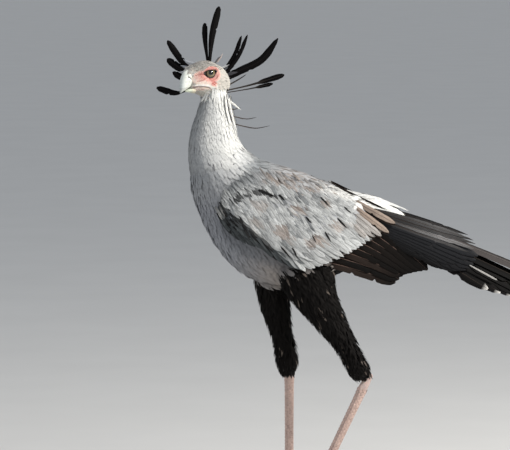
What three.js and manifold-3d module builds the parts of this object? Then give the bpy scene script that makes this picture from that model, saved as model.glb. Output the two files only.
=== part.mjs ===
// A secretary bird standing in mid-stride, life size, in millimetres.
// The bird walks towards -X with its left side towards -Y, and +Z is up.
// It is modelled whole and parted by thin cuts, so that its outline is one outline.

import * as THREE from 'three';
import { mergeVertices } from 'three/addons/utils/BufferGeometryUtils.js';
import Module from 'manifold-3d';

const wasm = await Module();
wasm.setup();

// Driving dimensions of the bird.
const TARSUS_LENGTH = 310;
const CENTRAL_TAIL_LENGTH = 680;
const OUTER_TAIL_LENGTH = 335;
const EYE_RADIUS = 13.5;
const PART_GAP = 0.3;
const GROW = 0.45;
const LEG_SPREAD = 50;

// How finely the forms are faceted: corners round each form, and steps along each feather or limb.
const CORNERS = {
  body: 24,
  head: 20,
  upperBill: 12,
  lowerBill: 12,
  wing: 15,
  thigh: 14,
  stem: 10,
  tarsus: 10,
  toe: 8,
  claw: 6,
};
const STEPS = { crest: 5, centralTail: 8, stem: 2, tarsus: 8, toe: 4, claw: 4 };

// The head turns towards the bird's left and looks a little down.
const HEAD_CENTRE = new THREE.Vector3(-226, -5, 1048);
const HEAD_YAW = THREE.MathUtils.degToRad(35);
const HEAD_PITCH = THREE.MathUtils.degToRad(8);
const HEAD_FORWARD = new THREE.Vector3(
  -Math.cos(HEAD_PITCH) * Math.cos(HEAD_YAW),
  -Math.cos(HEAD_PITCH) * Math.sin(HEAD_YAW),
  -Math.sin(HEAD_PITCH),
);
const HEAD_LEFT = new THREE.Vector3(Math.sin(HEAD_YAW), -Math.cos(HEAD_YAW), 0);
const HEAD_UP = new THREE.Vector3().crossVectors(HEAD_FORWARD, HEAD_LEFT);

const COLOURS = {
  pale: '#d9dadb',
  grey: '#b4b7bb',
  black: '#15130f',
  brownBlack: '#2b2521',
  tailGrey: '#8b8f94',
  bill: '#dfe3e0',
  eye: '#8c8050',
  leg: '#d8c6bd',
  claw: '#3a3733',
};

// A point given along the head's own axes: forward, left and up from between the eyes.
function inHead(forward, left, up) {
  return HEAD_CENTRE.clone()
    .addScaledVector(HEAD_FORWARD, forward)
    .addScaledVector(HEAD_LEFT, left)
    .addScaledVector(HEAD_UP, up);
}

// Signed volume, which tells whether the faces of a closed mesh point out.
function signedVolume(positions, faces) {
  const a = new THREE.Vector3();
  const b = new THREE.Vector3();
  const c = new THREE.Vector3();
  let total = 0;
  for (let i = 0; i < faces.length; i += 3) {
    a.fromArray(positions, faces[i] * 3);
    b.fromArray(positions, faces[i + 1] * 3);
    c.fromArray(positions, faces[i + 2] * 3);
    total += a.dot(b.cross(c));
  }
  return total / 6;
}

// A closed surface through rings of points that all have the same count.
function skinOver(rings) {
  const count = rings[0].length;
  const positions = rings.flat().flatMap((point) => point.toArray());
  const faces = [];
  for (let i = 0; i + 1 < rings.length; i += 1) {
    for (let j = 0; j < count; j += 1) {
      const near = i * count + j;
      const next = i * count + ((j + 1) % count);
      faces.push(near, next, next + count, near, next + count, near + count);
    }
  }
  for (const [ring, flip] of [[0, true], [rings.length - 1, false]]) {
    const middle = new THREE.Vector3();
    rings[ring].forEach((point) => middle.add(point));
    middle.divideScalar(count);
    const hub = positions.length / 3;
    positions.push(...middle.toArray());
    for (let j = 0; j < count; j += 1) {
      const near = ring * count + j;
      const next = ring * count + ((j + 1) % count);
      faces.push(hub, flip ? next : near, flip ? near : next);
    }
  }
  if (signedVolume(positions, faces) < 0) faces.reverse();
  const geometry = new THREE.BufferGeometry();
  geometry.setAttribute('position', new THREE.Float32BufferAttribute(positions, 3));
  geometry.setIndex(faces);
  return geometry;
}

// A copy that keeps only positions, so that shared corners can be merged.
function bareCopy(geometry) {
  const bare = geometry.clone();
  bare.deleteAttribute('normal');
  bare.deleteAttribute('uv');
  return bare;
}

// Turns a three.js geometry into a solid that can be cut and joined.
function solidFrom(geometry) {
  const merged = mergeVertices(bareCopy(geometry), 1e-4);
  const mesh = new wasm.Mesh({
    numProp: 3,
    vertProperties: new Float32Array(merged.attributes.position.array),
    triVerts: new Uint32Array(merged.index.array),
  });
  return new wasm.Manifold(mesh);
}

// Turns a cut or joined solid back into a three.js geometry.
function geometryFrom(solid) {
  const mesh = solid.getMesh();
  const geometry = new THREE.BufferGeometry();
  const positions = new Float32Array((mesh.vertProperties.length / mesh.numProp) * 3);
  for (let i = 0; i < positions.length / 3; i += 1) {
    for (let k = 0; k < 3; k += 1) positions[i * 3 + k] = mesh.vertProperties[i * mesh.numProp + k];
  }
  geometry.setAttribute('position', new THREE.BufferAttribute(positions, 3));
  geometry.setIndex(new THREE.BufferAttribute(new Uint32Array(mesh.triVerts), 1));
  return geometry;
}

// The same surface moved out, used to cut a neighbour with a thin gap. Each corner moves by
// every clearly different way that its faces look, so sharp edges move out as far as flat faces.
// Triangles with hardly any area have no clear way to look and are passed over.
const SAME_FACING = 0.8;
const SLIVER = 0.5;
function grown(geometry, distance) {
  const merged = mergeVertices(bareCopy(geometry), 1e-4);
  const place = merged.attributes.position;
  const corners = merged.index.array;
  const facings = Array.from({ length: place.count }, () => []);
  for (let i = 0; i < corners.length; i += 3) {
    const [a, b, c] = [0, 1, 2].map(
      (k) => new THREE.Vector3().fromBufferAttribute(place, corners[i + k]),
    );
    const facing = b.sub(a).cross(c.sub(a));
    if (facing.length() < SLIVER) continue;
    facing.normalize();
    for (let k = 0; k < 3; k += 1) {
      const known = facings[corners[i + k]];
      if (!known.some((other) => other.dot(facing) > SAME_FACING)) known.push(facing);
    }
  }
  facings.forEach((known, i) => {
    const moved = new THREE.Vector3().fromBufferAttribute(place, i);
    known.forEach((facing) => moved.addScaledVector(facing, distance));
    place.setXYZ(i, moved.x, moved.y, moved.z);
  });
  return solidFrom(merged);
}

// A closed piece kept both as it is and grown by the gap, for its neighbours.
function piece(geometry) {
  return { solid: solidFrom(geometry), cutter: grown(geometry, GROW) };
}

function joined(pieces) {
  return {
    solid: pieces.map((one) => one.solid).reduce((sum, one) => sum.add(one)),
    cutter: pieces.map((one) => one.cutter).reduce((sum, one) => sum.add(one)),
  };
}

function cutBy(one, ...neighbours) {
  const cut = (solid) => neighbours.reduce((rest, other) => rest.subtract(other.cutter), solid);
  return { solid: cut(one.solid), cutter: one.cutter };
}

// A rounded ring between two outline points; squareness 2 is an ellipse, more is boxier.
function ovalRing(first, second, across, halfWidth, sides, squareness) {
  const middle = first.clone().add(second).multiplyScalar(0.5);
  const half = second.clone().sub(first).multiplyScalar(0.5);
  const power = 2 / squareness;
  const ring = [];
  for (let j = 0; j < sides; j += 1) {
    const turn = (2 * Math.PI * j) / sides;
    const along = Math.sign(Math.cos(turn)) * Math.abs(Math.cos(turn)) ** power;
    const out = Math.sign(Math.sin(turn)) * Math.abs(Math.sin(turn)) ** power;
    ring.push(middle.clone().addScaledVector(half, along).addScaledVector(across, out * halfWidth));
  }
  return ring;
}

// A body form from stations of [front x, front z, back x, back z, half width] at a given y.
function formAlong(stations, y, sides, squareness = 2.2) {
  const across = new THREE.Vector3(0, 1, 0);
  const rings = stations.map(([frontX, frontZ, backX, backZ, halfWidth]) => ovalRing(
    new THREE.Vector3(frontX, y, frontZ),
    new THREE.Vector3(backX, y, backZ),
    across,
    halfWidth,
    sides,
    squareness,
  ));
  return skinOver(rings);
}

// A round limb along a curve, with a radius for each of its points.
function limbAlong(points, radii, sides, steps, flatten = 1) {
  const curve = new THREE.CatmullRomCurve3(points, false, 'centripetal');
  const rings = [];
  for (let i = 0; i <= steps; i += 1) {
    const t = i / steps;
    const place = t * (radii.length - 1);
    const low = Math.min(Math.floor(place), radii.length - 2);
    const radius = THREE.MathUtils.lerp(radii[low], radii[low + 1], place - low);
    const tangent = curve.getTangent(t);
    const side = new THREE.Vector3().crossVectors(tangent, new THREE.Vector3(0, 1, 0)).normalize();
    const across = new THREE.Vector3().crossVectors(side, tangent).normalize();
    const centre = curve.getPoint(t);
    const ring = [];
    for (let j = 0; j < sides; j += 1) {
      const turn = (2 * Math.PI * (j + 0.5)) / sides;
      ring.push(centre.clone()
        .addScaledVector(side, Math.cos(turn) * radius)
        .addScaledVector(across, Math.sin(turn) * radius * flatten));
    }
    rings.push(ring);
  }
  return skinOver(rings);
}

// A feather as a thin vane along a curve: facing is the way its flat side looks.
function vaneAlong(points, halfWidthAt, thickness, facing, steps) {
  const curve = new THREE.CatmullRomCurve3(points, false, 'centripetal');
  const rings = [];
  for (let i = 0; i <= steps; i += 1) {
    const t = i / steps;
    const tangent = curve.getTangent(t);
    const wide = new THREE.Vector3().crossVectors(tangent, facing).normalize();
    const thick = new THREE.Vector3().crossVectors(wide, tangent).normalize();
    const half = halfWidthAt(t);
    const centre = curve.getPoint(t);
    rings.push([[-1, -1], [1, -1], [1, 1], [-1, 1]].map(([a, b]) => centre.clone()
      .addScaledVector(wide, a * half)
      .addScaledVector(thick, b * thickness / 2)));
  }
  return skinOver(rings);
}

// How a vane narrows to its rounded tip, past the share of its length where the rounding starts.
function roundTip(t, from, least) {
  const past = Math.max(0, (t - from) / (1 - from));
  return Math.sqrt(Math.max(least, 1 - past ** 2));
}

// Half width of a long tail feather, from root (0) to tip (1).
const STRAP = { rootShare: 0.55, widenBy: 0.25, roundFrom: 0.8, least: 0.06 };
const strapWidth = (half) => (t) => half
  * THREE.MathUtils.lerp(STRAP.rootShare, 1, Math.min(1, t / STRAP.widenBy))
  * roundTip(t, STRAP.roundFrom, STRAP.least);

// Half width of a crest feather, which stays narrow and then widens like a spatula.
const SPATULA = { widenFrom: 0.3, widenBy: 0.75, roundFrom: 0.82, least: 0.08 };
const spatulaWidth = (half, base) => (t) => THREE.MathUtils.lerp(
  base,
  half,
  THREE.MathUtils.smoothstep(t, SPATULA.widenFrom, SPATULA.widenBy),
) * roundTip(t, SPATULA.roundFrom, SPATULA.least);

function mirrored(geometry) {
  const copy = geometry.clone();
  copy.scale(1, -1, 1);
  const order = copy.index.array.slice().reverse();
  copy.setIndex(new THREE.BufferAttribute(order, 1));
  return copy;
}

// A large block that lies on one side of a plane, used to part the body.
function halfSpace(point, normal) {
  const size = 3000;
  const block = new THREE.BoxGeometry(size, size, size);
  block.translate(0, 0, size / 2);
  const turn = new THREE.Quaternion().setFromUnitVectors(
    new THREE.Vector3(0, 0, 1),
    normal.clone().normalize(),
  );
  block.applyQuaternion(turn);
  block.translate(point.x, point.y, point.z);
  return solidFrom(block);
}

// Neck and trunk as one form, from under the head to the root of the tail.
// Each row is the throat or belly point, the nape or back point, and the half width.
const BODY_STATIONS = [
  [-244, 1008, -176, 1024, 30],
  [-242, 990, -171, 1005, 33],
  [-251, 956, -166, 966, 36],
  [-263, 923, -156, 932, 41],
  [-270, 889, -146, 894, 47],
  [-272, 860, -130, 869, 57],
  [-271, 834, -103, 850, 70],
  [-269, 802, -67, 836, 81],
  [-266, 769, -24, 824, 88],
  [-254, 730, 17, 809, 92],
  [-235, 684, 53, 795, 94],
  [-211, 638, 84, 782, 94],
  [-178, 595, 110, 773, 93],
  [-137, 559, 139, 766, 90],
  [-91, 540, 168, 761, 86],
  [-36, 532, 194, 752, 79],
  [29, 542, 216, 740, 69],
  [91, 564, 235, 728, 58],
  [154, 595, 252, 713, 45],
  [206, 629, 264, 696, 28],
];
const NECK_JOINT = new THREE.Vector3(-208, 0, 925);
const NECK_BASE = new THREE.Vector3(-187, 0, 832);
const NECK_AXIS = new THREE.Vector3(-0.12, 0, 1);
const NECK_BASE_AXIS = new THREE.Vector3(-0.2, 0, 1);

function makeBody(head) {
  const whole = piece(formAlong(BODY_STATIONS, 0, CORNERS.body));
  const bare = whole.solid.subtract(head.cutter);
  const above = (point, axis, lift) => halfSpace(
    point.clone().addScaledVector(axis.clone().normalize(), lift),
    axis,
  );
  const below = (point, axis, drop) => halfSpace(
    point.clone().addScaledVector(axis.clone().normalize(), -drop),
    axis.clone().negate(),
  );
  const half = PART_GAP / 2;
  return {
    whole,
    neckUpper: bare.intersect(above(NECK_JOINT, NECK_AXIS, half)),
    neckLower: bare.intersect(below(NECK_JOINT, NECK_AXIS, half))
      .intersect(above(NECK_BASE, NECK_BASE_AXIS, half)),
    trunk: bare.intersect(below(NECK_BASE, NECK_BASE_AXIS, half)),
  };
}

// Head, along its own axes: forward, height of the top, height of the underside, half width.
const HEAD_STATIONS = [
  [-58, -14, -42, 12],
  [-53, -4, -51, 21],
  [-45, 6, -57, 28],
  [-34, 16, -58, 32],
  [-19, 27, -57, 34.5],
  [-4, 33, -56, 34.5],
  [12, 34, -55, 32],
  [26, 32, -51, 28],
  [37, 28, -43, 23],
  [46, 23, -35, 18.5],
  [53, 18.5, -30, 14.5],
];

// Upper bill: forward, culmen height, cutting-edge height, half width. The last rows are the hook.
const UPPER_BILL_STATIONS = [
  [44, 24, -23.5, 14.5],
  [53, 19.5, -25, 13.5],
  [60, 14.5, -27.5, 12],
  [66.5, 7.5, -30, 10],
  [71.5, -1, -32, 8],
  [75.2, -11, -33.5, 5.8],
  [77.3, -20, -34.6, 3.8],
  [78.2, -29, -35.4, 1.8],
];
const LOWER_BILL_STATIONS = [
  [42, -24.7, -41, 12.5],
  [48, -25.6, -38.5, 11],
  [54, -27, -36.5, 9],
  [59, -28.8, -35, 6.5],
  [63, -30.4, -34, 3.5],
];

const HEAD_SQUARENESS = 2.25;
const BILL_SQUARENESS = 2.1;

function formInHead(stations, sides, squareness) {
  const rings = stations.map(([forward, top, bottom, halfWidth]) => ovalRing(
    inHead(forward, 0, bottom),
    inHead(forward, 0, top),
    HEAD_LEFT,
    halfWidth,
    sides,
    squareness,
  ));
  return skinOver(rings);
}

// Crest feathers: the way each one takes from its root to its tip in the head's axes, the half
// width of its vane and of its bare base. They stand round the nape like a fan; the first two
// stand up, the next four reach past the far side of the face, and the rest point backwards.
const CREST = [
  { way: [[-19, -5, 26], [-35, -5, 86], [-64, -4, 152]], half: 7.5, base: 3 },
  { way: [[-17, -11, 26], [-24, -21, 78], [-35, -30, 116]], half: 6, base: 3 },
  { way: [[-18, -24, 7], [9, -68, 22], [30, -98, 80]], half: 7.5, base: 4.5 },
  { way: [[-19, -22, 2], [15, -71, 10], [38, -102, 38]], half: 9, base: 5 },
  { way: [[-20, -21, -5], [16, -70, -9], [34, -91, 6]], half: 6.5, base: 4.5 },
  { way: [[-27, -17, -21], [16, -68, -41], [38, -88, -45], [69, -115, -27]], half: 7.2, base: 3 },
  { way: [[-37, 4, -14], [-66, 34, 32], [-83, 51, 80]], half: 6, base: 4 },
  { way: [[-38, 10, -18], [-71, 49, 35], [-87, 68, 82]], half: 6, base: 4 },
  { way: [[-42, 3, -22], [-77, 33, -5], [-121, 67, 17], [-156, 94, 63]], half: 9, base: 6 },
  { way: [[-37, 7, -43], [-67, 35, -25], [-83, 50, -14]], half: 1.6, base: 1.4 },
  { way: [[-31, 1, -50], [-89, 50, -41], [-155, 104, -25]], half: 7.5, base: 1.6 },
  { way: [[-28, 4, -54], [-82, 60, -48], [-122, 100, -41]], half: 5.5, base: 1.6 },
];
const CREST_THICKNESS = 1.8;

const EYE_SEAT = { forward: 3, left: 21.5, up: 2 };

function makeEye(side) {
  const ball = new THREE.IcosahedronGeometry(EYE_RADIUS, 1);
  const seat = inHead(EYE_SEAT.forward, EYE_SEAT.left * side, EYE_SEAT.up);
  ball.translate(seat.x, seat.y, seat.z);
  return piece(ball);
}

function makeHead(eyes, bills) {
  const skull = piece(formInHead(HEAD_STATIONS, CORNERS.head, HEAD_SQUARENESS));
  const towardsView = new THREE.Vector3(0, -1, 0);
  const feathers = CREST.map(({ way, half, base }) => piece(vaneAlong(
    way.map((spot) => inHead(...spot)),
    spatulaWidth(half, base),
    CREST_THICKNESS,
    towardsView,
    STEPS.crest,
  )));
  return cutBy(joined([skull, ...feathers]), ...eyes, ...bills);
}

// Folded wing: lower edge x, y, z, upper edge x, y, z, and half thickness of the left wing.
const WING_STATIONS = [
  [-187, -66, 719, -178, -62, 744, 9],
  [-178, -76, 694, -168, -68, 770, 18],
  [-158, -82, 668, -151, -68, 790, 24],
  [-127, -87, 649, -120, -66, 802, 27],
  [-84, -89, 634, -77, -62, 809, 28],
  [-38, -89, 603, -29, -60, 809, 28],
  [12, -88, 588, 14, -58, 799, 26],
  [60, -84, 603, 60, -55, 785, 23],
  [106, -76, 620, 101, -49, 770, 19],
  [154, -66, 646, 139, -43, 756, 15],
  [185, -59, 663, 170, -38, 739, 11],
  [209, -54, 675, 194, -35, 722, 6],
];

const WING_SQUARENESS = 2.4;

function wingGeometry() {
  const rings = WING_STATIONS.map(([lowX, lowY, lowZ, highX, highY, highZ, half]) => {
    const low = new THREE.Vector3(lowX, lowY, lowZ);
    const high = new THREE.Vector3(highX, highY, highZ);
    const across = new THREE.Vector3(0, 1, 0);
    return ovalRing(low, high, across, half, CORNERS.wing, WING_SQUARENESS);
  });
  return skinOver(rings);
}

// Flight feathers lie stacked behind the coverts, so each group is one plate whose edge
// is cut into feather tips. Heights and reaches are in the plane of the bird's side.
// Tips run from the lowest feather to the highest, and notch is how far the gaps cut in.
const SECONDARIES = {
  rootLow: [40, 600],
  rootHigh: [150, 716],
  tips: [[226, 550], [243, 566], [271, 579], [302, 588]],
  slope: -0.42,
  tipHalf: 10,
  notch: 26,
  thickness: 7,
  rootY: 72,
  inward: 0.13,
};
const PRIMARIES = {
  rootLow: [196, 652],
  rootHigh: [168, 706],
  tips: [[338, 588], [370, 579], [396, 581], [410, 592], [422, 614]],
  slope: -0.36,
  tipHalf: 8,
  notch: 22,
  thickness: 7,
  rootY: 56,
  inward: 0.06,
};

// The rounded end of one feather, in half widths: across it, and back from its tip.
const TIP_CORNERS = [[-1, 1.5], [-0.6, 0.4], [0, 0], [0.7, 0.5]];
const NOTCH_ACROSS = 1.1;

// The outlines of a fan's feathers in one plane. Each one widens from its rounded tip back to the
// fan's whole root, so that neighbours join with a notch between their tips.
function fanOutlines({ rootLow, rootHigh, tips, slope, tipHalf, notch }) {
  const run = new THREE.Vector2(1, slope).normalize();
  const up = new THREE.Vector2(-run.y, run.x);
  return tips.map((tip) => {
    const end = new THREE.Vector2(...tip);
    const corner = (across, back) => end.clone()
      .addScaledVector(up, across * tipHalf)
      .addScaledVector(run, -back);
    const rounded = TIP_CORNERS.map(([across, back]) => corner(across, back * tipHalf));
    return [
      new THREE.Vector2(...rootLow),
      ...rounded,
      corner(NOTCH_ACROSS, notch),
      new THREE.Vector2(...rootHigh),
    ];
  });
}

// A plate of those feathers, leaning inward towards the tips and outward towards its lower edge.
function fanPlate(fan, side) {
  const depth = fan.thickness;
  const feathers = fanOutlines(fan).map((outline) => solidFrom(
    new THREE.ExtrudeGeometry(new THREE.Shape(outline), { depth, bevelEnabled: false }),
  ));
  const plate = geometryFrom(feathers.reduce((sum, one) => sum.add(one)));
  const flare = fan.flare ?? 0;
  const place = plate.attributes.position;
  for (let i = 0; i < place.count; i += 1) {
    const x = place.getX(i);
    const z = place.getY(i);
    const reach = x - fan.rootLow[0];
    const crown = fan.rootHigh[1] + fan.slope * (x - fan.rootHigh[0]);
    const y = fan.rootY - fan.inward * reach + flare * (crown - z) - place.getZ(i);
    place.setXYZ(i, x, -side * y, z);
  }
  const merged = mergeVertices(bareCopy(plate), 1e-4);
  if (signedVolume(merged.attributes.position.array, merged.index.array) < 0) {
    merged.setIndex([...merged.index.array].reverse());
  }
  return merged;
}

// Tail: the side feathers hang lower and are shorter, like a roof under the long central pair.
const TAIL_ROOT = new THREE.Vector3(165, 0, 712);
const TAIL_SLOPES = { outer: 32, inner: 25 };
const TAIL_SIDE_FEATHERS = 5;
const TAIL_INNER_LENGTH = 520;
const TAIL_FAN = {
  rootLow: [180, 668],
  rootHigh: [190, 712],
  slope: -0.5,
  tipHalf: 11,
  notch: 24,
  thickness: 5,
  rootY: 13,
  inward: -0.012,
  flare: 0.3,
};

// The solid stem of the tail runs from the rump out under the central feathers.
const TAIL_STEM = { drop: 6, end: new THREE.Vector3(330, 0, 628), radii: [22, 13], flatten: 1.1 };

// The two long central feathers: where each is rooted, how far its tip stands out, how much it
// arches, and how far its flat side tilts outwards.
const CENTRAL = {
  rootBack: 20,
  rootOut: 15,
  rootHeight: 727,
  tipOut: 20,
  arch: 9,
  tilt: 0.5,
  slope: 23.4,
  half: 17,
  thickness: 2.6,
};

function tailTip(share) {
  const slope = THREE.MathUtils.degToRad(
    THREE.MathUtils.lerp(TAIL_SLOPES.outer, TAIL_SLOPES.inner, share),
  );
  const length = THREE.MathUtils.lerp(OUTER_TAIL_LENGTH, TAIL_INNER_LENGTH, share);
  return [
    TAIL_ROOT.x + Math.cos(slope) * length,
    TAIL_ROOT.z - Math.sin(slope) * length,
  ];
}

function makeTail() {
  const tips = [];
  for (let i = 0; i < TAIL_SIDE_FEATHERS; i += 1) tips.push(tailTip(i / (TAIL_SIDE_FEATHERS - 1)));
  const stemRoot = TAIL_ROOT.clone().add(new THREE.Vector3(0, 0, -TAIL_STEM.drop));
  const stem = limbAlong(
    [stemRoot, TAIL_STEM.end],
    TAIL_STEM.radii,
    CORNERS.stem,
    STEPS.stem,
    TAIL_STEM.flatten,
  );
  const fans = [1, -1].map((side) => piece(fanPlate({ ...TAIL_FAN, tips }, side)));
  return joined([piece(stem), ...fans]);
}

function makeCentralFeather(side) {
  const slope = THREE.MathUtils.degToRad(CENTRAL.slope);
  const root = new THREE.Vector3(
    TAIL_ROOT.x + CENTRAL.rootBack,
    side * CENTRAL.rootOut,
    CENTRAL.rootHeight,
  );
  const tip = new THREE.Vector3(
    root.x + Math.cos(slope) * CENTRAL_TAIL_LENGTH,
    side * CENTRAL.tipOut,
    root.z - Math.sin(slope) * CENTRAL_TAIL_LENGTH,
  );
  const middle = root.clone().lerp(tip, 0.5);
  middle.z += CENTRAL.arch;
  const facing = new THREE.Vector3(0, side * CENTRAL.tilt, 1).normalize();
  return piece(vaneAlong(
    [root, middle, tip],
    strapWidth(CENTRAL.half),
    CENTRAL.thickness,
    facing,
    STEPS.centralTail,
  ));
}

// Legs: the near (left) leg reaches back and the far (right) leg stands upright.
// Thigh rows are the front point, the back point and the half width.
const LEFT_THIGH = [
  [-77, 585, 91, 599, 40],
  [-48, 537, 86, 546, 41],
  [-22, 503, 91, 515, 39],
  [2, 477, 106, 481, 36],
  [29, 448, 120, 445, 33],
  [53, 421, 133, 416, 30],
  [78, 395, 146, 390, 27],
  [94, 371, 158, 368, 24],
  [106, 349, 168, 349, 20],
  [118, 328, 167, 337, 16],
  [134, 312, 156, 321, 11],
];
const RIGHT_THIGH = [
  [-120, 571, 0, 591, 40],
  [-110, 530, -14, 540, 39],
  [-103, 504, -22, 499, 37],
  [-96, 477, -20, 470, 34],
  [-86, 451, -18, 444, 31],
  [-77, 427, -16, 417, 28],
  [-67, 398, -10, 398, 25],
  [-62, 374, -4, 374, 22],
  [-58, 347, -2, 345, 19],
  [-50, 326, -9, 328, 15],
  [-41, 311, -17, 314, 10.5],
];
const THIGH_SQUARENESS = 2.1;
const LEFT_LEAN = THREE.MathUtils.degToRad(25.3);
const LEFT_ANKLE = new THREE.Vector3(158, -LEG_SPREAD, 312);
const RIGHT_ANKLE = new THREE.Vector3(-25, LEG_SPREAD, 334);
const RIGHT_LEAN = 0;
const LEFT_HEEL = new THREE.Vector3(171, -LEG_SPREAD, 331);
const RIGHT_HEEL = new THREE.Vector3(-10, LEG_SPREAD, 340);

// The knuckle is where the toes meet the tarsus.
function knuckleBelow(ankle, lean) {
  return new THREE.Vector3(
    ankle.x - Math.sin(lean) * TARSUS_LENGTH,
    ankle.y,
    ankle.z - Math.cos(lean) * TARSUS_LENGTH,
  );
}

// The shank of bare scutes, from the heel's point behind the ankle down to the knuckle.
// Shares of the way from ankle to knuckle, and the radii at the heel and at those shares.
const SHANK_SHARES = [0.03, 0.14, 0.5, 0.88, 1];
const SHANK_RADII = [6, 12.5, 10.5, 9.8, 10, 12.5];
const SHANK_FLATTEN = 0.82;

function makeTarsus(heel, ankle, knuckle) {
  const shaft = SHANK_SHARES.map((share) => ankle.clone().lerp(knuckle, share));
  return piece(limbAlong(
    [heel, ...shaft],
    SHANK_RADII,
    CORNERS.tarsus,
    STEPS.tarsus,
    SHANK_FLATTEN,
  ));
}

// Toes: heading from straight ahead in degrees, length without the claw, and radius.
const TOES = {
  middle: { heading: 0, length: 66, radius: 9 },
  inner: { heading: 30, length: 47, radius: 8.5 },
  outer: { heading: -32, length: 49, radius: 8 },
  hind: { heading: 172, length: 30, radius: 7.5 },
};
const KNUCKLE_RADIUS = 13.5;

// A toe leaves the knuckle a little below its middle, bends down and lies along its pad, which
// is sunk by a little so that it meets the floor on a flat.
const TOE_BEND = { rootReach: 2, rootDrop: 4, rootSwell: 1.5, share: 0.4, rise: 4, padShare: 0.75 };
const TOE_TIP_SHARE = 0.72;
const PAD_SINK = 1.2;

// A claw starts inside the toe's end and curves down to the floor.
const CLAW = { length: 24, overlap: 4, rootRise: 1, archRise: 1.5, lateShare: 0.6, tipHeight: 1.4 };
const CLAW_RADII = [4.6, 3.9, 2.4, 0.7];
const CLAW_FLATTEN = 0.85;

// Points along a toe, from the knuckle down to its pad and out along the floor.
function toePath(knuckle, side, { heading, length, radius }) {
  const turn = THREE.MathUtils.degToRad(heading) * side;
  const ahead = new THREE.Vector3(-Math.cos(turn), -Math.sin(turn), 0);
  const at = (reach, height) => new THREE.Vector3(knuckle.x, knuckle.y, 0)
    .addScaledVector(ahead, reach)
    .setZ(height);
  const pad = radius - PAD_SINK;
  const path = [
    at(TOE_BEND.rootReach, knuckle.z - TOE_BEND.rootDrop),
    at(length * TOE_BEND.share, pad + TOE_BEND.rise),
    at(length * TOE_BEND.padShare, pad),
    at(length, pad),
  ];
  return { at, path };
}

function makeFoot(knuckle, side) {
  const knob = new THREE.IcosahedronGeometry(KNUCKLE_RADIUS, 1);
  knob.translate(knuckle.x, knuckle.y, knuckle.z);
  const toes = Object.values(TOES).map((toe) => piece(limbAlong(
    toePath(knuckle, side, toe).path,
    [toe.radius + TOE_BEND.rootSwell, toe.radius, toe.radius, toe.radius * TOE_TIP_SHARE],
    CORNERS.toe,
    STEPS.toe,
  )));
  return joined([piece(knob), ...toes]);
}

function makeClaw(knuckle, side, toe) {
  const { at } = toePath(knuckle, side, toe);
  const start = toe.length - CLAW.overlap;
  return piece(limbAlong(
    [
      at(start, toe.radius + CLAW.rootRise),
      at(start + CLAW.length * 0.4, toe.radius + CLAW.archRise),
      at(start + CLAW.length * 0.8, toe.radius * CLAW.lateShare),
      at(start + CLAW.length, CLAW.tipHeight),
    ],
    CLAW_RADII,
    CORNERS.claw,
    STEPS.claw,
    CLAW_FLATTEN,
  ));
}

// The sole: everything under the floor level is cut away, which leaves small flats.
const FLOOR = halfSpace(new THREE.Vector3(0, 0, 0), new THREE.Vector3(0, 0, 1));

// Assembly.
const bird = new THREE.Group();

function addPart(name, solid, colour, roughness = 0.8) {
  const material = new THREE.MeshStandardMaterial({ color: colour, roughness, metalness: 0 });
  const geometry = geometryFrom(solid);
  geometry.computeVertexNormals();
  const mesh = new THREE.Mesh(geometry, material);
  mesh.name = name;
  bird.add(mesh);
}

const SIDES = [
  { word: 'left', sign: 1 },
  { word: 'right', sign: -1 },
];

const eyes = SIDES.map(({ sign }) => makeEye(sign));
const upperBill = piece(formInHead(UPPER_BILL_STATIONS, CORNERS.upperBill, BILL_SQUARENESS));
const lowerBill = piece(formInHead(LOWER_BILL_STATIONS, CORNERS.lowerBill, BILL_SQUARENESS));
const head = makeHead(eyes, [upperBill, lowerBill]);
const body = makeBody(head);
SIDES.forEach(({ word }, i) => addPart(`eye_${word}`, eyes[i].solid, COLOURS.eye, 0.15));
addPart('bill_upper', upperBill.solid, COLOURS.bill, 0.4);
addPart('bill_lower', cutBy(lowerBill, upperBill).solid, COLOURS.bill, 0.4);
addPart('head', head.solid, COLOURS.pale);
addPart('neck_upper', body.neckUpper, COLOURS.pale);
addPart('neck_lower', body.neckLower, COLOURS.pale);
addPart('trunk', body.trunk, COLOURS.pale);

const tail = cutBy(makeTail(), body.whole);
const central = SIDES.map(({ sign }) => makeCentralFeather(-sign));
const wings = SIDES.map(({ sign }) => {
  const coverts = wingGeometry();
  return {
    coverts: piece(sign > 0 ? coverts : mirrored(coverts)),
    secondaries: piece(fanPlate(SECONDARIES, sign)),
    primaries: piece(fanPlate(PRIMARIES, sign)),
  };
});
const allWings = wings.flatMap((wing) => [wing.coverts, wing.secondaries, wing.primaries]);
SIDES.forEach(({ word }, i) => {
  const { coverts, secondaries, primaries } = wings[i];
  addPart(`wing_${word}`, cutBy(coverts, body.whole).solid, COLOURS.grey);
  addPart(
    `secondaries_${word}`,
    cutBy(secondaries, coverts, body.whole).solid,
    COLOURS.brownBlack,
    0.6,
  );
  addPart(
    `primaries_${word}`,
    cutBy(primaries, coverts, secondaries, body.whole).solid,
    COLOURS.black,
    0.6,
  );
  addPart(
    `tail_central_${word}`,
    cutBy(central[i], body.whole, ...allWings).solid,
    COLOURS.tailGrey,
    0.6,
  );
});
addPart(
  'tail',
  cutBy(tail, ...central, ...allWings).solid,
  COLOURS.black,
  0.6,
);

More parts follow.
